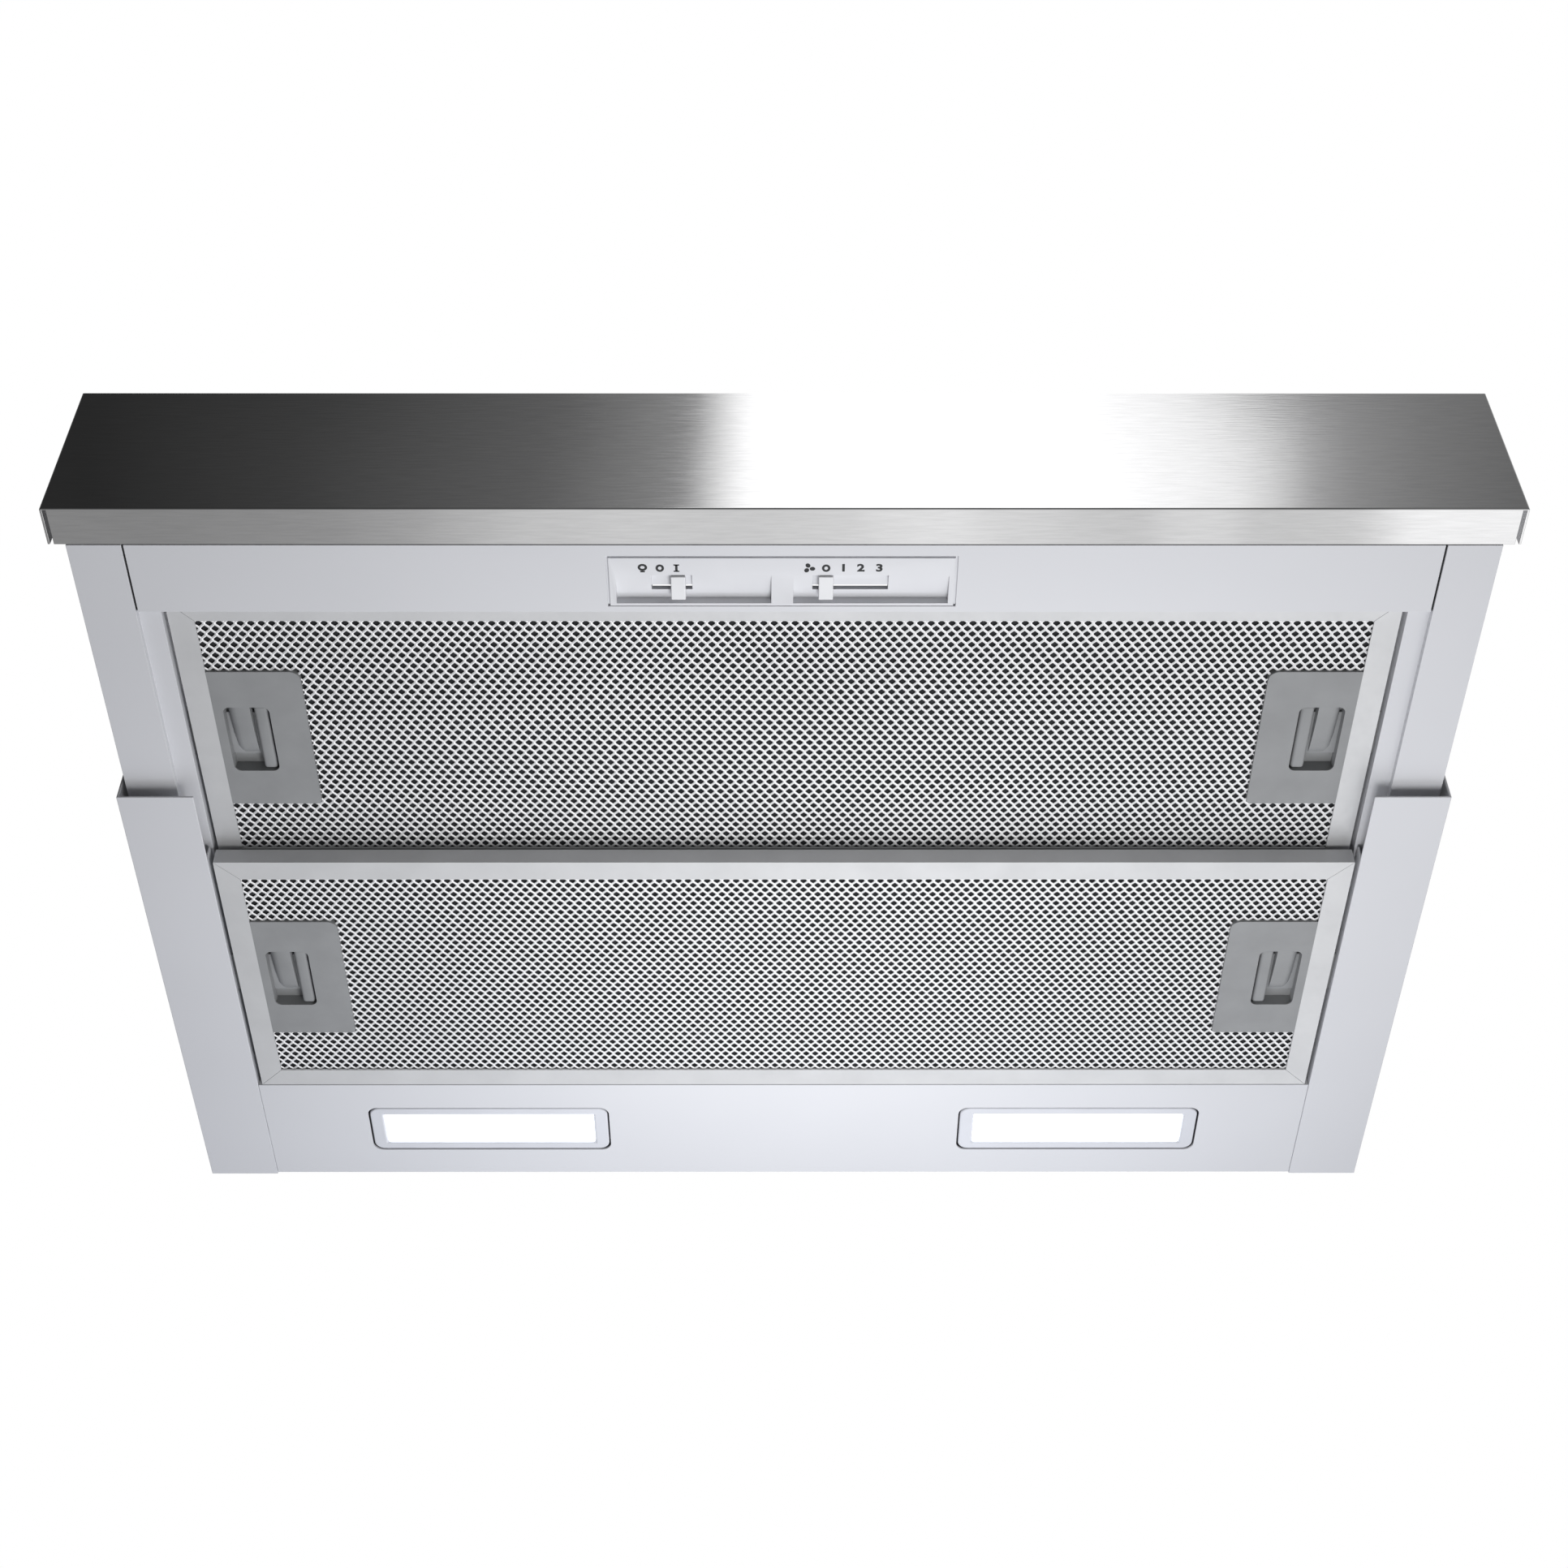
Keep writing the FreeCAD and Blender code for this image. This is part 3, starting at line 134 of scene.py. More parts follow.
def noiseOn(tree, coordinates, scale, detail):
    place = tree.nodes.new("ShaderNodeMapping")
    place.inputs["Scale"].default_value = scale
    tree.links.new(coordinates, place.inputs["Vector"])
    noise = tree.nodes.new("ShaderNodeTexNoise")
    noise.inputs["Scale"].default_value = 1.0
    noise.inputs["Detail"].default_value = detail
    tree.links.new(place.outputs["Vector"], noise.inputs["Vector"])
    return place, noise


def rangeOn(tree, value, start, end, low=0.0, high=1.0):
    spread = tree.nodes.new("ShaderNodeMapRange")
    for name, number in (("From Min", start), ("From Max", end), ("To Min", low), ("To Max", high)):
        spread.inputs[name].default_value = number
    tree.links.new(value, spread.inputs["Value"])
    return spread


def makeFinish(name, look):
    material = bpy.data.materials.get(name) or bpy.data.materials.new(name)
    material.use_nodes = True
    tree = material.node_tree
    tree.nodes.clear()
    output = tree.nodes.new("ShaderNodeOutputMaterial")
    shader = tree.nodes.new("ShaderNodeBsdfPrincipled")
    tree.links.new(shader.outputs["BSDF"], output.inputs["Surface"])
    shader.inputs["Metallic"].default_value = look["metallic"]
    coordinates = tree.nodes.new("ShaderNodeTexCoord").outputs["Object"]

    # tone: the colour drifts a little across the piece, or from one zinc crystal to the next
    place, clouds = noiseOn(tree, coordinates, look["clouds"], pattern["cloudDetail"])
    shade = clouds.outputs["Fac"]
    if look.get("spangle"):
        crystals = tree.nodes.new("ShaderNodeTexVoronoi")
        crystals.inputs["Scale"].default_value = 1.0
        tree.links.new(place.outputs["Vector"], crystals.inputs["Vector"])
        shade = crystals.outputs["Color"]
    ramp = tree.nodes.new("ShaderNodeValToRGB")
    for stop, position, tone in zip(ramp.color_ramp.elements, (pattern["from"], pattern["to"]), look["tone"]):
        stop.position = position
        stop.color = [min(1.0, channel * tone) for channel in look["colour"]] + [1.0]
    tree.links.new(shade, ramp.inputs["Fac"])
    tree.links.new(ramp.outputs["Color"], shader.inputs["Base Color"])

    # grain: fine pattern that drives the roughness and the relief
    grain = noiseOn(tree, coordinates, look["grain"], pattern["grainDetail"])[1]
    spread = rangeOn(tree, grain.outputs["Fac"], pattern["from"], pattern["to"], *look["roughness"])
    tree.links.new(spread.outputs["Result"], shader.inputs["Roughness"])
    bump = tree.nodes.new("ShaderNodeBump")
    bump.inputs["Strength"].default_value = pattern["bump"]
    bump.inputs["Distance"].default_value = look["relief"] * mm
    tree.links.new(grain.outputs["Fac"], bump.inputs["Height"])
    tree.links.new(bump.outputs["Normal"], shader.inputs["Normal"])

    if look.get("glow"):
        tree.links.new(ramp.outputs["Color"], shader.inputs["Emission Color"])
        shader.inputs["Emission Strength"].default_value = look["glow"]
    return material


# the frame's materials have the same names, so the nodes that keep their shape change with them
materials = {name: makeFinish(name, look) for name, look in finishes.items()}
slotOf = {name: thing.data.materials[0].name for name, thing in nodes.items()}
print("finishes made,", len(materials))


def newPiece(name, bm, slotName):
    mesh = bpy.data.meshes.new(name)
    bm.to_mesh(mesh)
    bm.free()
    mesh.materials.clear()
    mesh.materials.append(materials[slotName])
    piece = bpy.data.objects.new(name, mesh)
    bpy.context.scene.collection.objects.link(piece)
    return piece


def placed(piece, body, slotName, *stoodFor):
    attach(piece, body)
    if stoodFor:
        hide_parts(*stoodFor)


def smoothed(piece):
    piece.data.shade_smooth()
    piece.data.set_sharp_from_angle(angle=math.radians(35))


def softEdges(piece, width, segments=2, hardened=True):
    smoothed(piece)
    bevel = piece.modifiers.new("softEdges", "BEVEL")
    bevel.width = width
    bevel.segments = segments
    bevel.limit_method = "ANGLE"
    bevel.angle_limit = math.radians(30)
    bevel.harden_normals = hardened


def shapeOf(node):
    # a node's mesh with its flat faces made whole again
    bm = bmesh.new()
    bm.from_mesh(nodes[node].data)
    bmesh.ops.remove_doubles(bm, verts=bm.verts, dist=1e-6)
    bmesh.ops.dissolve_limit(bm, angle_limit=math.radians(1), verts=bm.verts, edges=bm.edges)
    return bm


def addBox(bm, low, high):
    corners = [bm.verts.new((x, y, z)) for x in (low[0], high[0]) for y in (low[1], high[1])
               for z in (low[2], high[2])]
    for face in ((0, 1, 3, 2), (4, 6, 7, 5), (0, 4, 5, 1), (2, 3, 7, 6), (0, 2, 6, 4), (1, 5, 7, 3)):
        bm.faces.new([corners[i] for i in face])


def addPrism(bm, outline, low, high):
    bottom = [bm.verts.new((x, y, low)) for x, y in outline]
    top = [bm.verts.new((x, y, high)) for x, y in outline]
    bm.faces.new(list(reversed(bottom)))
    bm.faces.new(top)
    count = len(outline)
    for i in range(count):
        j = (i + 1) % count
        bm.faces.new((bottom[i], bottom[j], top[j], top[i]))


def baked(piece):
    # the modifiers' result becomes the mesh
    evaluated = piece.evaluated_get(bpy.context.evaluated_depsgraph_get())
    mesh = bpy.data.meshes.new_from_object(evaluated)
    piece.modifiers.clear()
    piece.data = mesh


def carved(piece, tool, operation="DIFFERENCE"):
    modifier = piece.modifiers.new("carve", "BOOLEAN")
    modifier.operation = operation
    modifier.solver = "EXACT"
    modifier.object = tool
    baked(piece)
    bpy.data.objects.remove(tool)


# sheet metal and mouldings that keep the frame's own shape, with their edges eased by so many mm
easedEdges = {
    "fascia_stiffener": 0.3, "drawer_front_panel": 0.2, "drawer_left_side": 0.2,
    "drawer_right_side": 0.2, "drawer_rear_bar": 0.3, "tray_left_side": 0.4, "tray_right_side": 0.4,
    "tray_rear_wall": 0.4, "tray_top_panel": 0.3, "motor_box": 0.4, "motor_box_lid": 0.4,
    "rear_lamp_panel": 0.35, "lamp_left_housing": 0.8, "lamp_right_housing": 0.8, "lamp_left_lens": 0.5,
    "lamp_right_lens": 0.5, "control_insert": 0.12, "light_slider_knob": 0.5, "fan_slider_knob": 0.5,
    "duct_spigot": 0.25, "outer_rail_left": 0.3, "outer_rail_right": 0.3, "inner_rail_left": 0.3,
    "inner_rail_right": 0.3,
    "wiring_box": 0.4, "run_capacitor": 0.4, "cable_gland": 0.3, "drawer_bumpers": 0.5,
}
threeStepsFrom = 0.5  # mm: edges this wide or wider are rounded in three steps
for node, width in easedEdges.items():
    piece = newPiece("eased_" + node, shapeOf(node), slotOf[node])
    softEdges(piece, width * mm, 3 if width >= threeStepsFrom else 2)
    placed(piece, bodyOf[node], slotOf[node], node)
print("eased pieces made,", len(easedEdges))

# fascia: the bends round the front face are rounder than the cut edges behind them
fasciaShape = {"bend": 0.72 * mm, "bendSteps": 5, "cutEdge": 0.14 * mm}
bm = shapeOf("fascia")
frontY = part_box("fascia")[0].y
bends = [edge for edge in bm.edges
         if all(abs(vert.co.y - frontY) < 1e-6 for vert in edge.verts)
         and not all(face.normal.y < -0.9 for face in edge.link_faces)]
bmesh.ops.bevel(bm, geom=bends, offset=fasciaShape["bend"], segments=fasciaShape["bendSteps"], profile=0.5,
                affect="EDGES")
fascia = newPiece("fasciaShell", bm, "stainless")
softEdges(fascia, fasciaShape["cutEdge"], hardened=False)
fascia.modifiers.new("flatFaces", "WEIGHTED_NORMAL").keep_sharp = True
placed(fascia, bodyOf["fascia"], "stainless", "fascia")
print("fascia made")

# black rubber strips that close the seams at both ends of the bottom panel, from inside: painted shade, a
# dark sheet so that the seams read dark
seamTape = {"gap": 0.9 * mm, "lap": 1.0 * mm, "above": 1.1 * mm, "thick": 1.2 * mm, "round": 0.3 * mm}
low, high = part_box("drawer_front_panel")
bm = bmesh.new()
for edge, outward in ((low.x, -1), (high.x, 1)):
    ends = sorted((edge - outward * seamTape["lap"],
                   edge + outward * (seamTape["gap"] + seamTape["lap"])))
    addBox(bm, (ends[0], low.y, low.z + seamTape["above"]),
           (ends[1], high.y, low.z + seamTape["above"] + seamTape["thick"]))
# near-black strips behind the seams: painted shade in the gaps
seamShade = newPiece("seamTape", bm, "rubber")
softEdges(seamShade, seamTape["round"])
placed(seamShade, bodyOf["drawer_front_panel"], "rubber")
print("seam shade strips made")

# grease filters: folded frame with mitred corners and expanded mesh; the core behind the mesh keeps the
# frame's own shape and is coloured near black, painted shade
greaseFilter = {
    "rail": 10.8 * mm, "mitreGap": 0.16 * mm, "edge": 0.35 * mm,
    "columnPitch": 4.4 * mm, "rowPitch": 5.85 * mm, "bond": 0.5 * mm, "hole": 0.68,
    "meshLow": 1.05 * mm, "meshHigh": 1.95 * mm, "meshInner": 1.3 * mm, "tuck": 2.0 * mm,
    "latchFrom": 49.5 * mm, "latchTuck": 1.5 * mm, "weld": 0.02 * mm, "past": 1.0 * mm,
}


def mitreCutter(low, high):
    # four thin blades, one along the mitre at each corner
    bm = bmesh.new()
    gap = greaseFilter["mitreGap"] / 2
    past = greaseFilter["past"]
    reach = greaseFilter["rail"] + past
    for x, y, along, across in (
        (low.x, low.y, 1, 1), (high.x, low.y, -1, 1), (low.x, high.y, 1, -1), (high.x, high.y, -1, -1),
    ):
        start = Vector((x - along * past, y - across * past))
        end = Vector((x + along * reach, y + across * reach))
        side = (end - start).orthogonal().normalized() * gap
        outline = [start + side, end + side, end - side, start - side]
        if (end - start).cross(-side) < 0:
            outline.reverse()
        addPrism(bm, outline, low.z - past, high.z + past)
    bmesh.ops.recalc_face_normals(bm, faces=bm.faces)
    return newPiece("mitreCutter", bm, "rubber")


def meshTile():
    # one cell of the mesh: a six-sided hole whose rim falls away on both faces
    bm = bmesh.new()
    halfX = greaseFilter["columnPitch"] / 2
    bond = greaseFilter["bond"]
    peak = greaseFilter["rowPitch"] / 2 - bond
    rim = [(halfX, -bond), (halfX, bond), (0, peak), (-halfX, bond), (-halfX, -bond), (0, -peak)]
    hole = greaseFilter["hole"]
    lower = [bm.verts.new((x, y, greaseFilter["meshLow"])) for x, y in rim]
    inner = [bm.verts.new((x * hole, y * hole, greaseFilter["meshInner"])) for x, y in rim]
    upper = [bm.verts.new((x, y, greaseFilter["meshHigh"])) for x, y in rim]
    for i in range(len(rim)):
        j = (i + 1) % len(rim)
        bm.faces.new((lower[j], lower[i], inner[i], inner[j]))
        bm.faces.new((inner[j], inner[i], upper[i], upper[j]))
    return newPiece("meshTile", bm, "mesh_aluminium")


def expandedMeshTree():
    tree = bpy.data.node_groups.new("expandedMesh", "GeometryNodeTree")
    for name, kind in (
        ("Tile", "NodeSocketObject"), ("Columns", "NodeSocketInt"), ("Rows", "NodeSocketInt"),
        ("Column pitch", "NodeSocketFloat"), ("Row pitch", "NodeSocketFloat"), ("Centre", "NodeSocketVector"),
        ("Latch from", "NodeSocketFloat"), ("Latch half length", "NodeSocketFloat"),
        ("Material", "NodeSocketMaterial"),
    ):
        tree.interface.new_socket(name, in_out="INPUT", socket_type=kind)
    tree.interface.new_socket("Geometry", in_out="OUTPUT", socket_type="NodeSocketGeometry")
    link = tree.links.new
    entry = tree.nodes.new("NodeGroupInput").outputs

    def maths(operation, a, b):
        node = tree.nodes.new("ShaderNodeMath")
        node.operation = operation
        for socket, value in zip(node.inputs, (a, b)):
            if isinstance(value, (int, float)):
                socket.default_value = value
            else:
                link(value, socket)
        return node.outputs[0]

    def grid(columns, rows):
        sheet = tree.nodes.new("GeometryNodeMeshGrid")
        link(maths("MULTIPLY", maths("SUBTRACT", columns, 1), entry["Column pitch"]), sheet.inputs["Size X"])
        link(maths("MULTIPLY", maths("SUBTRACT", rows, 1), entry["Row pitch"]), sheet.inputs["Size Y"])
        link(columns, sheet.inputs["Vertices X"])
        link(rows, sheet.inputs["Vertices Y"])
        return sheet.outputs["Mesh"]

    # straight rows, and the staggered rows between them
    join = tree.nodes.new("GeometryNodeJoinGeometry")
    link(grid(entry["Columns"], entry["Rows"]), join.inputs["Geometry"])
    fewerColumns = maths("SUBTRACT", entry["Columns"], 1)
    fewerRows = maths("SUBTRACT", entry["Rows"], 1)
    link(grid(fewerColumns, fewerRows), join.inputs["Geometry"])

    # no cells where the latches stand
    spot = tree.nodes.new("ShaderNodeSeparateXYZ")
    link(tree.nodes.new("GeometryNodeInputPosition").outputs["Position"], spot.inputs["Vector"])
    past = maths("GREATER_THAN", maths("ABSOLUTE", spot.outputs["X"], 0), entry["Latch from"])
    near = maths("LESS_THAN", maths("ABSOLUTE", spot.outputs["Y"], 0), entry["Latch half length"])
    drop = tree.nodes.new("GeometryNodeDeleteGeometry")
    drop.domain = "POINT"
    link(join.outputs["Geometry"], drop.inputs["Geometry"])
    link(maths("MULTIPLY", past, near), drop.inputs["Selection"])

    tile = tree.nodes.new("GeometryNodeObjectInfo")
    link(entry["Tile"], tile.inputs["Object"])
    cells = tree.nodes.new("GeometryNodeInstanceOnPoints")
    link(drop.outputs["Geometry"], cells.inputs["Points"])
    link(tile.outputs["Geometry"], cells.inputs["Instance"])
    shift = tree.nodes.new("GeometryNodeTransform")
    link(cells.outputs["Instances"], shift.inputs["Geometry"])
    link(entry["Centre"], shift.inputs["Translation"])
    real = tree.nodes.new("GeometryNodeRealizeInstances")
    link(shift.outputs["Geometry"], real.inputs["Geometry"])
    weld = tree.nodes.new("GeometryNodeMergeByDistance")
    weld.inputs["Distance"].default_value = greaseFilter["weld"]
    link(real.outputs["Geometry"], weld.inputs["Geometry"])
    coat = tree.nodes.new("GeometryNodeSetMaterial")
    link(weld.outputs["Geometry"], coat.inputs["Geometry"])
    link(entry["Material"], coat.inputs["Material"])
    link(coat.outputs["Geometry"], tree.nodes.new("NodeGroupOutput").inputs["Geometry"])
    return tree


def setInput(modifier, name, value):
    # a geometry nodes input, found by its name
    for item in modifier.node_group.interface.items_tree:
        if item.item_type == "SOCKET" and item.in_out == "INPUT" and item.name == name:
            modifier[item.identifier] = value


def closeRim(netting):
    # the cut edge of the mesh, under the rails, gets its thickness
    bm = bmesh.new()
    bm.from_mesh(netting.data)
    bmesh.ops.bridge_loops(bm, edges=[edge for edge in bm.edges if edge.is_boundary])
    bmesh.ops.recalc_face_normals(bm, faces=bm.faces)
    print("open edges left in the mesh:", sum(edge.is_boundary for edge in bm.edges))
    bm.to_mesh(netting.data)
    bm.free()


tile = meshTile()
meshTree = expandedMeshTree()
for place, body in (("front", bodyOf["front_filter_frame"]), ("rear", bodyOf["rear_filter_frame"])):
    low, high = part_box(place + "_filter_frame")
    rim = newPiece(place + "FilterRim", shapeOf(place + "_filter_frame"), "filter_aluminium")
    carved(rim, mitreCutter(low, high))
    softEdges(rim, greaseFilter["edge"])
    placed(rim, body, "filter_aluminium", place + "_filter_frame")

    latchLow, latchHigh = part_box(place + "_latch_bases")
    spanX = high.x - low.x - 2 * greaseFilter["rail"] + 2 * greaseFilter["tuck"]
    spanY = high.y - low.y - 2 * greaseFilter["rail"] + 2 * greaseFilter["tuck"]
    bm = bmesh.new()
    bm.verts.new((0, 0, 0))
    netting = newPiece(place + "ExpandedMesh", bm, "mesh_aluminium")
    modifier = netting.modifiers.new("expandedMesh", "NODES")
    modifier.node_group = meshTree
    setInput(modifier, "Tile", tile)
    setInput(modifier, "Columns", int(spanX / greaseFilter["columnPitch"]) + 1)
    setInput(modifier, "Rows", int(spanY / greaseFilter["rowPitch"]) + 1)
    setInput(modifier, "Column pitch", greaseFilter["columnPitch"])
    setInput(modifier, "Row pitch", greaseFilter["rowPitch"])
    setInput(modifier, "Centre", (0.0, (low.y + high.y) / 2, low.z))
    setInput(modifier, "Latch from", high.x - greaseFilter["latchFrom"])
    setInput(modifier, "Latch half length", (latchHigh.y - latchLow.y) / 2 - greaseFilter["latchTuck"])
    setInput(modifier, "Material", materials["mesh_aluminium"])
    baked(netting)
    closeRim(netting)
    print(place, "mesh:", len(netting.data.polygons), "faces")
    placed(netting, body, "mesh_aluminium", place + "_filter_mesh")
bpy.data.objects.remove(tile)

# filter latches: a moulded plate with a finger pocket, and the grip that slides in it
latchShape = {
    "reach": 51.0, "rail": 10.8, "halfLong": 38.5, "tall": 7.3, "frontCorner": 4.5, "rearCorner": 2.0,
    "pocketIn": 35.0, "pocketOut": 15.0, "pocketHalf": 18.5, "pocketCorner": 3.0, "face": 0.8,
    "roomIn": 42.0, "roomHigh": 6.2, "gripIn": 34.0, "gripOut": 28.0, "gripLow": 1.1, "gripRound": 1.5,
    "tongueLow": 4.5, "tongueHigh": 6.0, "tongueHalf": 12.0, "tongueOut": 6.0, "tongueRound": 0.3,
    "play": 0.3, "edge": 0.3, "railCorner": 0.4, "cornerSteps": 6, "skin": 0.1, "lap": 1.0,
    # pad across the pocket: place inwards and how much deeper it lies there
    "padAcross": ((16.0, 4.6), (16.8, 2.6), (17.8, 1.3), (19.0, 0.5), (20.6, 0.0), (26.6, 0.0)),
    # pad in the pocket, from its front end: distance back and depth
    "padDeepest": 6.3, "padTop": 6.5, "padLap": 0.5,
    "pad": ((0.0, 0.25), (8.0, 0.7), (18.0, 1.7), (26.0, 2.9), (30.0, 4.4), (31.5, 6.2)),
}


def roundedOutline(low, high, corners):
    # corners: radius at low-low, high-low, high-high and low-high, counter-clockwise
    steps = latchShape["cornerSteps"]
    points = []
    centres = ((low[0], low[1], 1, 1, 180), (high[0], low[1], -1, 1, 270),
               (high[0], high[1], -1, -1, 0), (low[0], high[1], 1, -1, 90))
    for (x, y, inX, inY, start), radius in zip(centres, corners):
        for step in range(steps + 1):
            angle = math.radians(start + 90 * step / steps)
            points.append((x + inX * radius + radius * math.cos(angle),
                           y + inY * radius + radius * math.sin(angle)))
    return points


def addSoftBox(bm, low, high, radius, segments):
    kept = set(bm.verts)
    addBox(bm, low, high)
    edges = [edge for edge in bm.edges if edge.verts[0] not in kept and edge.verts[1] not in kept]
    bmesh.ops.bevel(bm, geom=edges, offset=radius, segments=segments, profile=0.5, affect="EDGES")


def latchFrame(place, sign):
    # a point of the latch, given inwards from the filter's side, back from its middle and up, in mm
    low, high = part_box(place + "_filter_frame")
    middle = (low.y + high.y) / 2

    def at(inwards, back, up):
        return Vector((sign * (high.x - inwards * mm), middle + back * mm, low.z + up * mm))
    return at


def mirrored(points, at, sign):
    # an outline of the latch in the frame, kept counter-clockwise on both sides
    ring = [tuple(at(u, v, 0)[:2]) for u, v in points]
    return ring if sign < 0 else ring[::-1]


def latchBase(place, side, sign):
    shape = latchShape
    at = latchFrame(place, sign)
    low, tall = at(0, 0, 0).z, at(0, 0, shape["tall"]).z
    plate = bmesh.new()
    corners = (shape["railCorner"], shape["frontCorner"], shape["rearCorner"], shape["railCorner"])
    outline = roundedOutline((shape["rail"], -shape["halfLong"]), (shape["reach"], shape["halfLong"]),
                             corners)
    addPrism(plate, mirrored(outline, at, sign), low, tall)
    bmesh.ops.recalc_face_normals(plate, faces=plate.faces)
    base = newPiece(place + "LatchBase" + side, plate, "latch_plastic")

    # the pocket's opening, the room round the grip and the slot for its tongue
    opening = bmesh.new()
    outline = roundedOutline((shape["pocketOut"], -shape["pocketHalf"]),
                             (shape["pocketIn"], shape["pocketHalf"]), (shape["pocketCorner"],) * 4)
    addPrism(opening, mirrored(outline, at, sign), low - mm, at(0, 0, shape["roomHigh"] - shape["skin"]).z)
    bmesh.ops.recalc_face_normals(opening, faces=opening.faces)
    carved(base, newPiece("cutter", opening, "latch_plastic"))
    for near, far, half, bottom, top in (
        (shape["pocketOut"], shape["roomIn"], shape["pocketHalf"], shape["face"], shape["roomHigh"]),
        (0.0, shape["roomIn"], shape["tongueHalf"] + shape["play"], shape["tongueLow"] - shape["play"],
         shape["tongueHigh"] + shape["play"] / 2),
    ):
        room = bmesh.new()
        ends = sorted((at(near, 0, 0).x, at(far, 0, 0).x))
        addBox(room, (ends[0], at(0, -half, 0).y, at(0, 0, bottom).z),
               (ends[1], at(0, half, 0).y, at(0, 0, top).z))
        bmesh.ops.recalc_face_normals(room, faces=room.faces)
        carved(base, newPiece("cutter", room, "latch_plastic"))

    # pad that slopes down from the front end of the pocket
    padded = bmesh.new()
    rings = []
    start = -shape["pocketHalf"] - shape["padLap"]
    end = start + shape["pad"][-1][0]
    for inwards, sink in shape["padAcross"]:
        line = [at(inwards, start + back, min(up + sink, shape["padDeepest"])) for back, up in shape["pad"]]
        line += [at(inwards, end, shape["padTop"]), at(inwards, start, shape["padTop"])]
        rings.append([padded.verts.new(point) for point in line])
    count = len(rings[0])
    padded.faces.new(rings[0])
    padded.faces.new(rings[-1][::-1])
    for ring, following in zip(rings, rings[1:]):
        for i in range(count):
            j = (i + 1) % count
            padded.faces.new((ring[j], ring[i], following[i], following[j]))
    bmesh.ops.recalc_face_normals(padded, faces=padded.faces)
    carved(base, newPiece("pad", padded, "latch_plastic"), "UNION")
    softEdges(base, shape["edge"] * mm)
    return base


def latchSlide(place, side, sign):
    shape = latchShape
    at = latchFrame(place, sign)
    bm = bmesh.new()
    half = shape["pocketHalf"] - shape["play"]
    tongue = shape["tongueHalf"]
    for near, far, reach, low, radius, segments in (
        (shape["gripOut"], shape["gripIn"], half, shape["gripLow"], shape["gripRound"], 4),
        (-shape["tongueOut"], shape["gripOut"] + shape["lap"], tongue, shape["tongueLow"],
         shape["tongueRound"], 2),
    ):
        ends = sorted((at(near, 0, 0).x, at(far, 0, 0).x))
        addSoftBox(bm, (ends[0], at(0, -reach, 0).y, at(0, 0, low).z),
                   (ends[1], at(0, reach, 0).y, at(0, 0, shape["tongueHigh"]).z), radius * mm, segments)
    slide = newPiece(place + "LatchSlide" + side, bm, "latch_plastic")
    smoothed(slide)
    return slide


for place in ("front", "rear"):
    for side, sign in (("Left", -1), ("Right", 1)):
        base = latchBase(place, side, sign)
        placed(base, bodyOf[place + "_latch_bases"], "latch_plastic", place + "_latch_bases")
        node = place + "_latch_slide_" + side.lower()
        slide = latchSlide(place, side, sign)
        placed(slide, bodyOf[node], "latch_plastic", node)
print("latches made")

# marks beside the two sliders, in mm: a lamp, a wheel and the settings
marks = {
    "y": -178.9, "face": 7.0, "proud": 0.06, "tall": 3.8, "stroke": 1.0, "bold": 0.2, "font": 1.34,
    "spread": 1.2, "lamp": -58.3, "bulb": (1.95, 1.75), "bulbUp": 0.4, "cap": (1.9, 0.7), "capDown": 1.75,
    "lightOff": -51.2, "lightOn": -44.4, "serif": (2.3, 0.6), "zeroHalf": 1.75,
    "wheel": 9.9, "wheelRadius": 2.5, "fanOff": 16.9, "speeds": ((24.0, "1"), (31.1, "2"), (38.7, "3")),
    # one blade of the wheel, in parts of its radius
    "bladeMiddle": 0.56, "bladeLong": 0.46, "bladeWide": 0.40, "bladeLean": 0.12,
    "ringSteps": 20, "bladeSteps": 10,
}


def addPlate(bm, outline):
    low = (marks["face"] - marks["proud"]) * mm
    addPrism(bm, [(x * mm, y * mm) for x, y in outline], low, marks["face"] * mm)


def addRing(bm, centre, size, stroke):
    steps = marks["ringSteps"]
    angles = [2 * math.pi * i / steps for i in range(steps)]
    outer, inner = [[(centre[0] + (size[0] - less) * math.cos(angle),
                      centre[1] + (size[1] - less) * math.sin(angle)) for angle in angles]
                    for less in (0, stroke)]
    for i in range(steps):
        j = (i + 1) % steps
        addPlate(bm, [outer[i], outer[j], inner[j], inner[i]])


def addBar(bm, x, y, wide, deep):
    addPlate(bm, [(x - wide / 2, y - deep / 2), (x + wide / 2, y - deep / 2),
                  (x + wide / 2, y + deep / 2), (x - wide / 2, y + deep / 2)])


def addWheel(bm, centre, radius):
    # three leaning blades
    steps = marks["bladeSteps"]
    for turn in range(3):
        angle = math.radians(120 * turn)
        blade = []
        for step in range(steps):
            around = 2 * math.pi * step / steps
            along = radius * (marks["bladeMiddle"] + marks["bladeLong"] * math.cos(around))
            across = radius * (marks["bladeLean"] + marks["bladeWide"] * math.sin(around))
            blade.append((centre[0] + along * math.cos(angle) - across * math.sin(angle),
                          centre[1] + along * math.sin(angle) + across * math.cos(angle)))
        addPlate(bm, blade)


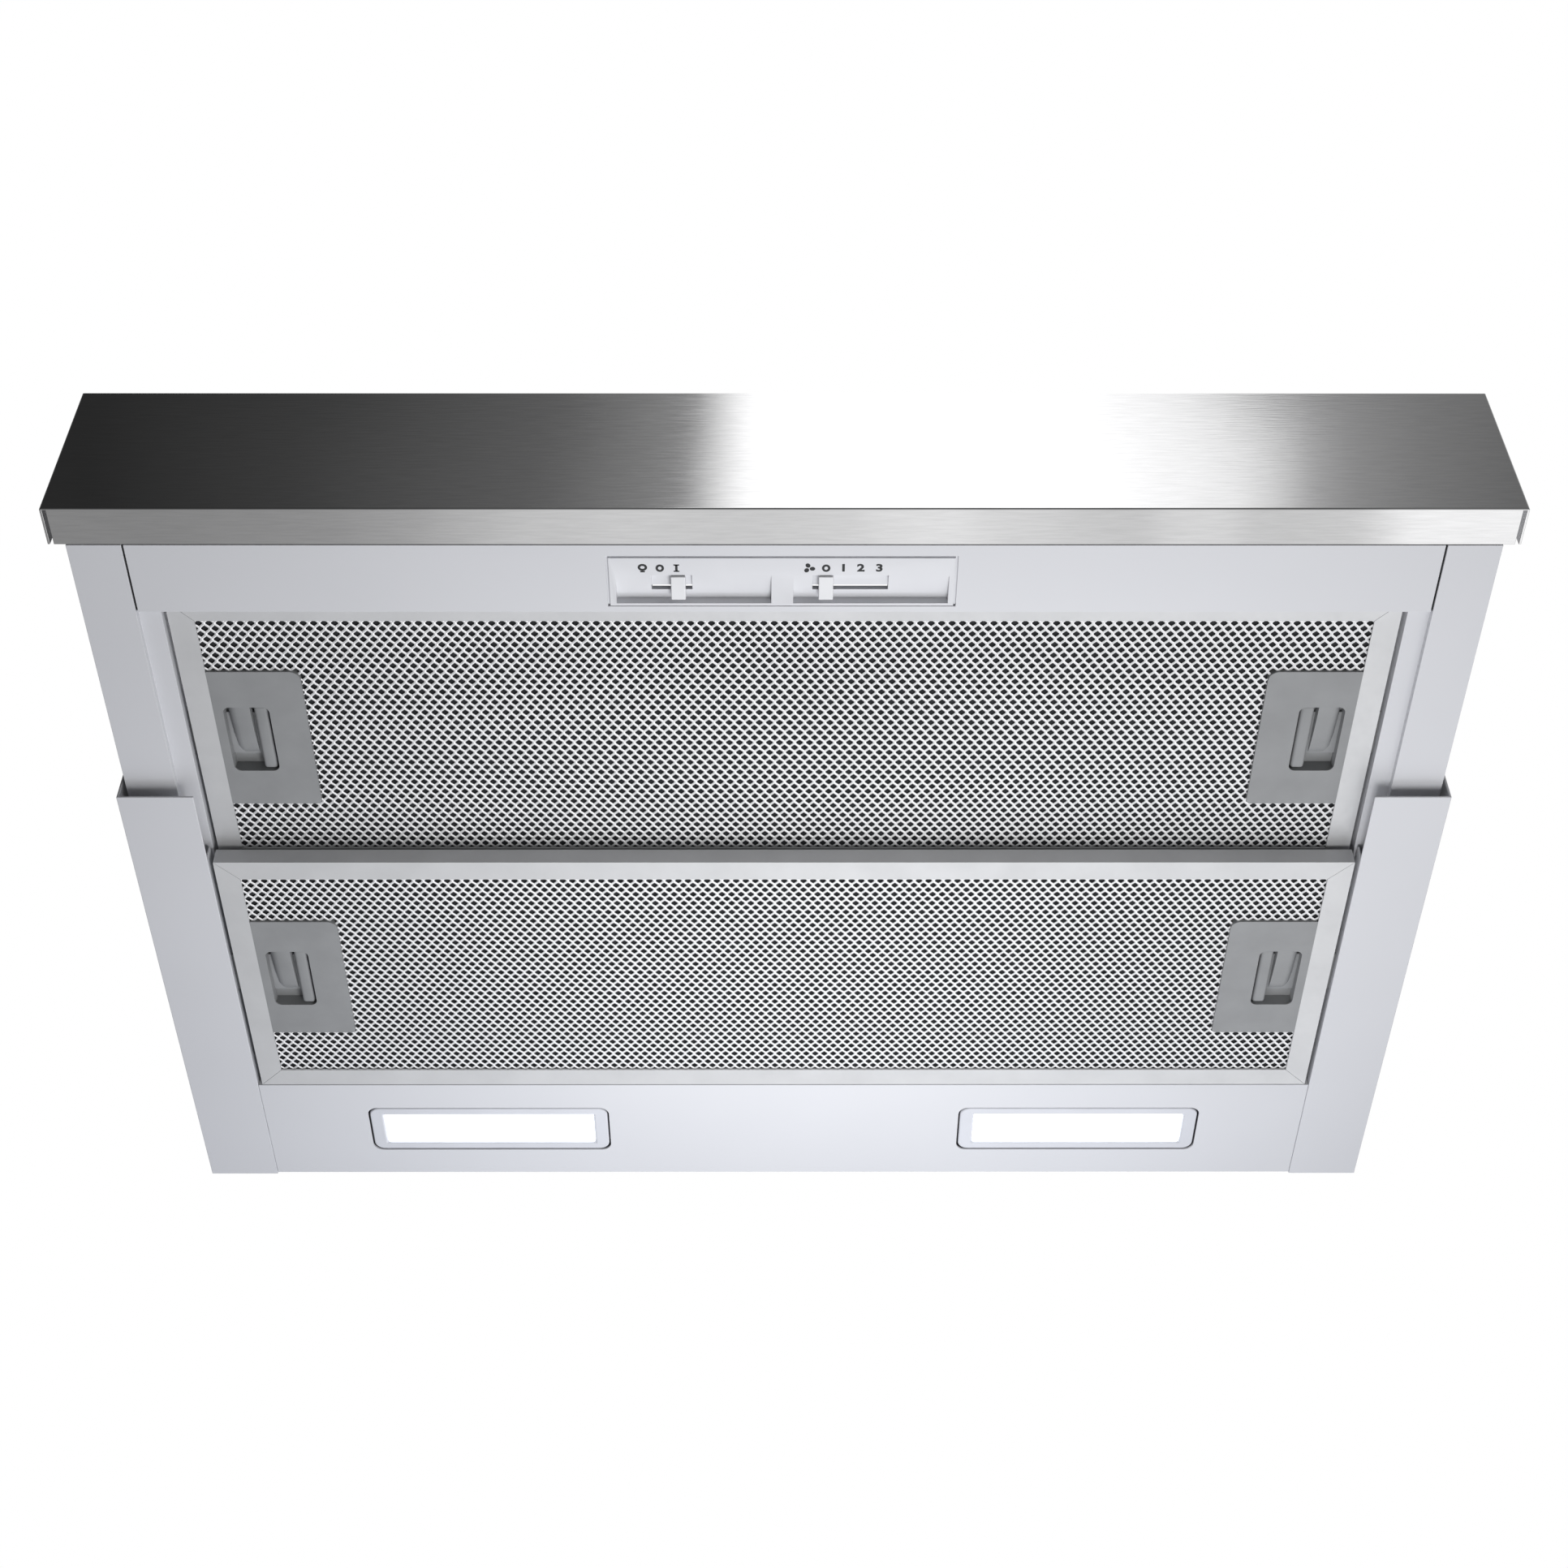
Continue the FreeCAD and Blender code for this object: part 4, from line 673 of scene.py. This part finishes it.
def addNumber(bm, x, y, text):
    curve = bpy.data.curves.new("number", "FONT")
    curve.body = text
    curve.size = marks["tall"] * marks["font"] * mm
    curve.align_x = "CENTER"
    curve.align_y = "CENTER"
    curve.offset = marks["bold"] * mm
    curve.extrude = marks["proud"] / 2 * mm
    curve.resolution_u = 4
    holder = bpy.data.objects.new("number", curve)
    bpy.context.scene.collection.objects.link(holder)
    mesh = bpy.data.meshes.new_from_object(holder.evaluated_get(bpy.context.evaluated_depsgraph_get()))
    # turned over, because it is read from below
    mesh.transform(Matrix.Translation((x * mm, y * mm, (marks["face"] - marks["proud"] / 2) * mm))
                   @ Matrix.Rotation(math.pi, 4, "X") @ Matrix.Diagonal((marks["spread"], 1, 1, 1)))
    bm.from_mesh(mesh)
    bpy.data.objects.remove(holder)
    bpy.data.meshes.remove(mesh)


bm = bmesh.new()
lineY, tall, stroke = marks["y"], marks["tall"], marks["stroke"]
addRing(bm, (marks["lamp"], lineY - marks["bulbUp"]), marks["bulb"], stroke)
addBar(bm, marks["lamp"], lineY + marks["capDown"], *marks["cap"])
for x in (marks["lightOff"], marks["fanOff"]):
    addRing(bm, (x, lineY), (marks["zeroHalf"], tall / 2), stroke)
addBar(bm, marks["lightOn"], lineY, stroke, tall)
for end in (-1, 1):
    addBar(bm, marks["lightOn"], lineY + end * (tall - marks["serif"][1]) / 2, *marks["serif"])
addWheel(bm, (marks["wheel"], lineY), marks["wheelRadius"])
for x, text in marks["speeds"]:
    addNumber(bm, x, lineY, text)
bmesh.ops.remove_doubles(bm, verts=bm.verts, dist=1e-7)
bmesh.ops.recalc_face_normals(bm, faces=bm.faces)
placed(newPiece("sliderMarks", bm, "black_plastic"), bodyOf["control_insert"], "black_plastic")
print("slider marks made")

# screws: a domed head with a cross in it, set on each screw of the frame
screws = {
    "headTall": 2.0 * mm, "stem": 0.5, "tip": 0.6,
    # dome of the head in parts of its radius and height, and its cross
    "dome": ((1.0, 0.45), (0.86, 0.8), (0.55, 1.0)), "crossLong": 0.62, "crossWide": 0.17, "crossDeep": 0.6,
    "steps": 20,
}


def screwSpots(node):
    # lowest and highest corner of each separate screw in a node
    bm = shapeOf(node)
    left = set(bm.verts)
    spots = []
    while left:
        stack = [left.pop()]
        island = []
        while stack:
            vert = stack.pop()
            island.append(vert.co.copy())
            for edge in vert.link_edges:
                other = edge.other_vert(vert)
                if other in left:
                    left.remove(other)
                    stack.append(other)
        low = Vector([min(point[i] for point in island) for i in range(3)])
        high = Vector([max(point[i] for point in island) for i in range(3)])
        spots.append((low, high))
    bm.free()
    return spots


def screwBody(headRadius, stemLong):
    # along +Z, with the underside of the head at zero
    headTall = screws["headTall"]
    stemRadius = headRadius * screws["stem"]
    steps = screws["steps"]
    angles = [2 * math.pi * i / steps for i in range(steps)]
    profile = [(0, -stemLong), (stemRadius * screws["tip"], -stemLong), (stemRadius, -stemLong + stemRadius),
               (stemRadius, 0), (headRadius, 0)]
    profile += [(headRadius * wide, headTall * up) for wide, up in screws["dome"]] + [(0, headTall)]
    bm = bmesh.new()
    rings = []
    for radius, z in profile:
        if radius == 0:
            rings.append([bm.verts.new((0, 0, z))])
        else:
            rings.append([bm.verts.new((radius * math.cos(angle), radius * math.sin(angle), z))
                          for angle in angles])
    for lower, upper in zip(rings, rings[1:]):
        for i in range(steps):
            j = (i + 1) % steps
            if len(lower) == 1:
                bm.faces.new((lower[0], upper[j], upper[i]))
            elif len(upper) == 1:
                bm.faces.new((lower[i], lower[j], upper[0]))
            else:
                bm.faces.new((lower[i], lower[j], upper[j], upper[i]))
    bmesh.ops.recalc_face_normals(bm, faces=bm.faces)
    body = newPiece("screwBody", bm, "zinc_steel")
    reach, half = headRadius * screws["crossLong"], headRadius * screws["crossWide"]
    for x, y in ((reach, half), (half, reach)):
        cross = bmesh.new()
        addBox(cross, (-x, -y, headTall * (1 - screws["crossDeep"])), (x, y, headTall * 2))
        bmesh.ops.recalc_face_normals(cross, faces=cross.faces)
        carved(body, newPiece("cutter", cross, "zinc_steel"))
    return body


def screwTree():
    tree = bpy.data.node_groups.new("screwsOnPoints", "GeometryNodeTree")
    for name, kind in (("Geometry", "NodeSocketGeometry"), ("Screw", "NodeSocketObject"),
                       ("Turn", "NodeSocketVector"), ("Material", "NodeSocketMaterial")):
        tree.interface.new_socket(name, in_out="INPUT", socket_type=kind)
    tree.interface.new_socket("Geometry", in_out="OUTPUT", socket_type="NodeSocketGeometry")
    entry = tree.nodes.new("NodeGroupInput").outputs
    screw = tree.nodes.new("GeometryNodeObjectInfo")
    tree.links.new(entry["Screw"], screw.inputs["Object"])
    spots = tree.nodes.new("GeometryNodeInstanceOnPoints")
    tree.links.new(entry["Geometry"], spots.inputs["Points"])
    tree.links.new(screw.outputs["Geometry"], spots.inputs["Instance"])
    tree.links.new(entry["Turn"], spots.inputs["Rotation"])
    real = tree.nodes.new("GeometryNodeRealizeInstances")
    tree.links.new(spots.outputs["Instances"], real.inputs["Geometry"])
    coat = tree.nodes.new("GeometryNodeSetMaterial")
    tree.links.new(real.outputs["Geometry"], coat.inputs["Geometry"])
    tree.links.new(entry["Material"], coat.inputs["Material"])
    tree.links.new(coat.outputs["Geometry"], tree.nodes.new("NodeGroupOutput").inputs["Geometry"])
    return tree


screwsOnPoints = screwTree()
for node, axis, turn in (("fascia_screws", 1, (-math.pi / 2, 0, 0)), ("case_screws", 2, (0, 0, 0))):
    spots = screwSpots(node)
    size = spots[0][1] - spots[0][0]
    screw = screwBody(size.x / 2, size[axis] - screws["headTall"])
    bm = bmesh.new()
    for low, high in spots:
        centre = (low + high) / 2
        centre[axis] = high[axis] - screws["headTall"]
        bm.verts.new(centre)
    piece = newPiece("screws_" + node, bm, "zinc_steel")
    modifier = piece.modifiers.new("screwsOnPoints", "NODES")
    modifier.node_group = screwsOnPoints
    setInput(modifier, "Screw", screw)
    setInput(modifier, "Turn", turn)
    setInput(modifier, "Material", materials["zinc_steel"])
    baked(piece)
    bpy.data.objects.remove(screw)
    smoothed(piece)
    placed(piece, bodyOf[node], "zinc_steel", node)
    print(node, "made,", len(spots), "screws")

# studio: white backdrop, soft boxes as a graded surround, a pale floor far below
studio = {
    "floorZ": -1.75, "floorHalf": 4.0, "floorThick": 0.02, "brightest": 2.0, "horizon": 0.15,
    "cameraPlace": (-2.70 * mm, -781.36 * mm, -774.91 * mm), "pitch": 0.824685, "yaw": 0.0035016,
    "roll": -0.0026744, "lens": 55.148, "sensor": 36, "nearest": 0.05,
    # brightness of the surround above the horizon, by how far it lies to the right
    "above": ((-0.60, 0.16), (-0.34, 0.035), (-0.25, 0.031), (-0.18, 0.066), (-0.09, 0.16), (-0.037, 0.34),
              (-0.012, 1.7), (0.120, 1.75), (0.135, 1.55), (0.158, 1.40), (0.172, 1.25), (0.185, 0.95),
              (0.197, 0.56), (0.210, 0.39), (0.235, 0.28), (0.272, 0.19), (0.60, 0.50)),
    # the higher, the closer those levels draw to the middle
    "slantFrom": 0.807, "slantTo": 0.834, "slant": 0.085,
    # below the horizon it is darker to the front and near the horizon
    "frontShade": 0.16, "frontFrom": -0.45, "frontTo": 0.10,
    "grazeShade": 0.35, "grazeFrom": -0.65, "grazeTo": -0.05,
    "below": ((-0.60, 0.36), (-0.25, 0.35), (-0.185, 0.42), (-0.15, 0.54), (-0.11, 0.80), (-0.06, 0.93),
              (-0.02, 0.89), (0.03, 1.0), (0.048, 1.15), (0.076, 1.18), (0.086, 1.06), (0.112, 1.0),
              (0.122, 0.93), (0.150, 0.86), (0.158, 1.04), (0.182, 1.07), (0.193, 0.86), (0.236, 0.92),
              (0.252, 1.40), (0.29, 1.38), (0.60, 1.3)),
}


def scaled(tree, colour, factor):
    scale = tree.nodes.new("ShaderNodeVectorMath")
    scale.operation = "SCALE"
    tree.links.new(colour, scale.inputs["Vector"])
    tree.links.new(factor.outputs["Result"], scale.inputs["Scale"])
    return scale.outputs["Vector"]


def surroundRamp(tree, lean, stops):
    # brightness of the surround by how far a direction leans to the right
    first, last = stops[0][0], stops[-1][0]
    place = rangeOn(tree, lean, first, last)
    ramp = tree.nodes.new("ShaderNodeValToRGB")
    elements = ramp.color_ramp.elements
    while len(elements) < len(stops):
        elements.new(0.5)
    for element, stop in zip(elements, stops):
        element.position = (stop[0] - first) / (last - first)
    for element, stop in zip(elements, stops):
        element.color = [stop[1] / studio["brightest"]] * 3 + [1.0]
    tree.links.new(place.outputs["Result"], ramp.inputs["Fac"])
    return ramp.outputs["Color"]


world = bpy.data.worlds.new("studio")
bpy.context.scene.world = world
world.use_nodes = True
tree = world.node_tree
tree.nodes.clear()
direction = tree.nodes.new("ShaderNodeSeparateXYZ")
tree.links.new(tree.nodes.new("ShaderNodeTexCoord").outputs["Generated"], direction.inputs["Vector"])
rise = rangeOn(tree, direction.outputs["Z"], -studio["horizon"], studio["horizon"])
dim = rangeOn(tree, direction.outputs["Y"], studio["frontFrom"], studio["frontTo"], studio["frontShade"])
graze = rangeOn(tree, direction.outputs["Z"], studio["grazeFrom"], studio["grazeTo"],
                1.0, studio["grazeShade"])
slant = rangeOn(tree, direction.outputs["Z"], studio["slantFrom"], studio["slantTo"],
                1 - studio["slant"], 1 + studio["slant"])
slanted = tree.nodes.new("ShaderNodeMath")
slanted.operation = "MULTIPLY"
tree.links.new(direction.outputs["X"], slanted.inputs[0])
tree.links.new(slant.outputs["Result"], slanted.inputs[1])
below = surroundRamp(tree, direction.outputs["X"], studio["below"])
above = surroundRamp(tree, slanted.outputs["Value"], studio["above"])
blendUp = tree.nodes.new("ShaderNodeMix")
blendUp.data_type = "RGBA"
tree.links.new(rise.outputs["Result"], blendUp.inputs["Factor"])
# sockets 6 and 7 are the two colours, and output 2 the blended one
tree.links.new(scaled(tree, scaled(tree, below, dim), graze), blendUp.inputs[6])
tree.links.new(above, blendUp.inputs[7])
surround = tree.nodes.new("ShaderNodeBackground")
surround.inputs["Strength"].default_value = studio["brightest"]
tree.links.new(blendUp.outputs[2], surround.inputs["Color"])
backdrop = tree.nodes.new("ShaderNodeBackground")
backdrop.inputs["Color"].default_value = (1, 1, 1, 1)
seen = tree.nodes.new("ShaderNodeLightPath")
choice = tree.nodes.new("ShaderNodeMixShader")
tree.links.new(seen.outputs["Is Camera Ray"], choice.inputs["Fac"])
tree.links.new(surround.outputs["Background"], choice.inputs[1])
tree.links.new(backdrop.outputs["Background"], choice.inputs[2])
tree.links.new(choice.outputs["Shader"], tree.nodes.new("ShaderNodeOutputWorld").inputs["Surface"])


def softBox(name, place, aim, size, power, colour):
    light = bpy.data.lights.new(name, "AREA")
    light.shape = "RECTANGLE"
    light.size, light.size_y = size
    light.energy = power
    light.color = colour
    lamp = bpy.data.objects.new(name, light)
    bpy.context.scene.collection.objects.link(lamp)
    lamp.location = place
    lamp.rotation_mode = "QUATERNION"
    lamp.rotation_quaternion = (Vector(aim) - Vector(place)).to_track_quat("-Z", "Y")
    lamp.visible_camera = False
    lamp.visible_glossy = False


# name, place, aim, size, power and colour
softBoxes = (
    ("frontKey", (0.12, -0.10, -0.50), (0.10, -0.10, 0.0), (0.24, 0.18), 1.38, (1, 1, 1)),
    ("middleKey", (0.0, 0.08, -0.25), (0.0, 0.08, 0.0), (0.14, 0.10), 0.32, (1, 1, 1)),
    ("coolFill", (0.0, 0.42, -0.55), (0.0, 0.08, 0.0), (1.2, 0.5), 0.72, (0.76, 0.87, 1.2)),
    ("overhead", (0.3, 0.8, 1.3), (0.0, 0.0, 0.1), (1.4, 1.0), 16.0, (1, 1, 1)),
    ("lampGlowLeft", (-0.1485, 0.20, -0.14), (-0.1485, 0.175, 0.0), (0.17, 0.06), 0.03, (0.86, 0.93, 1.0)),
    ("lampGlowRight", (0.1485, 0.20, -0.14), (0.1485, 0.175, 0.0), (0.17, 0.06), 0.03, (0.86, 0.93, 1.0)),
)
for softBoxLook in softBoxes:
    softBox(*softBoxLook)

floorFinish = {
    "colour": (0.86, 0.86, 0.85), "metallic": 0.0, "roughness": (0.6, 0.7), "tone": (0.98, 1.0),
    "clouds": (2, 2, 2), "grain": (40, 40, 40), "relief": 0.1,
}
materials["floor"] = makeFinish("floor", floorFinish)
half, top = studio["floorHalf"], studio["floorZ"]
bm = bmesh.new()
addBox(bm, (-half, -half, top - studio["floorThick"]), (half, half, top))
floor = newPiece("floor", bm, "floor")
floor.visible_glossy = False
floor.visible_diffuse = False

camera = bpy.data.objects.new("camera", bpy.data.cameras.new("camera"))
bpy.context.scene.collection.objects.link(camera)
pitch, yaw, roll = studio["pitch"], studio["yaw"], studio["roll"]
ahead = Vector((math.sin(yaw) * math.cos(pitch), math.cos(yaw) * math.cos(pitch), math.sin(pitch)))
flatRight = Vector((math.cos(yaw), -math.sin(yaw), 0))
flatUp = flatRight.cross(ahead)
right = flatRight * math.cos(roll) + flatUp * math.sin(roll)
up = flatUp * math.cos(roll) - flatRight * math.sin(roll)
turn = Matrix((right, up, -ahead)).transposed().to_4x4()
camera.matrix_world = Matrix.Translation(studio["cameraPlace"]) @ turn
camera.data.sensor_width = studio["sensor"]
camera.data.lens = studio["lens"]
camera.data.clip_start = studio["nearest"]
bpy.context.scene.camera = camera
bpy.context.scene.view_settings.view_transform = "Standard"
print("studio ready")
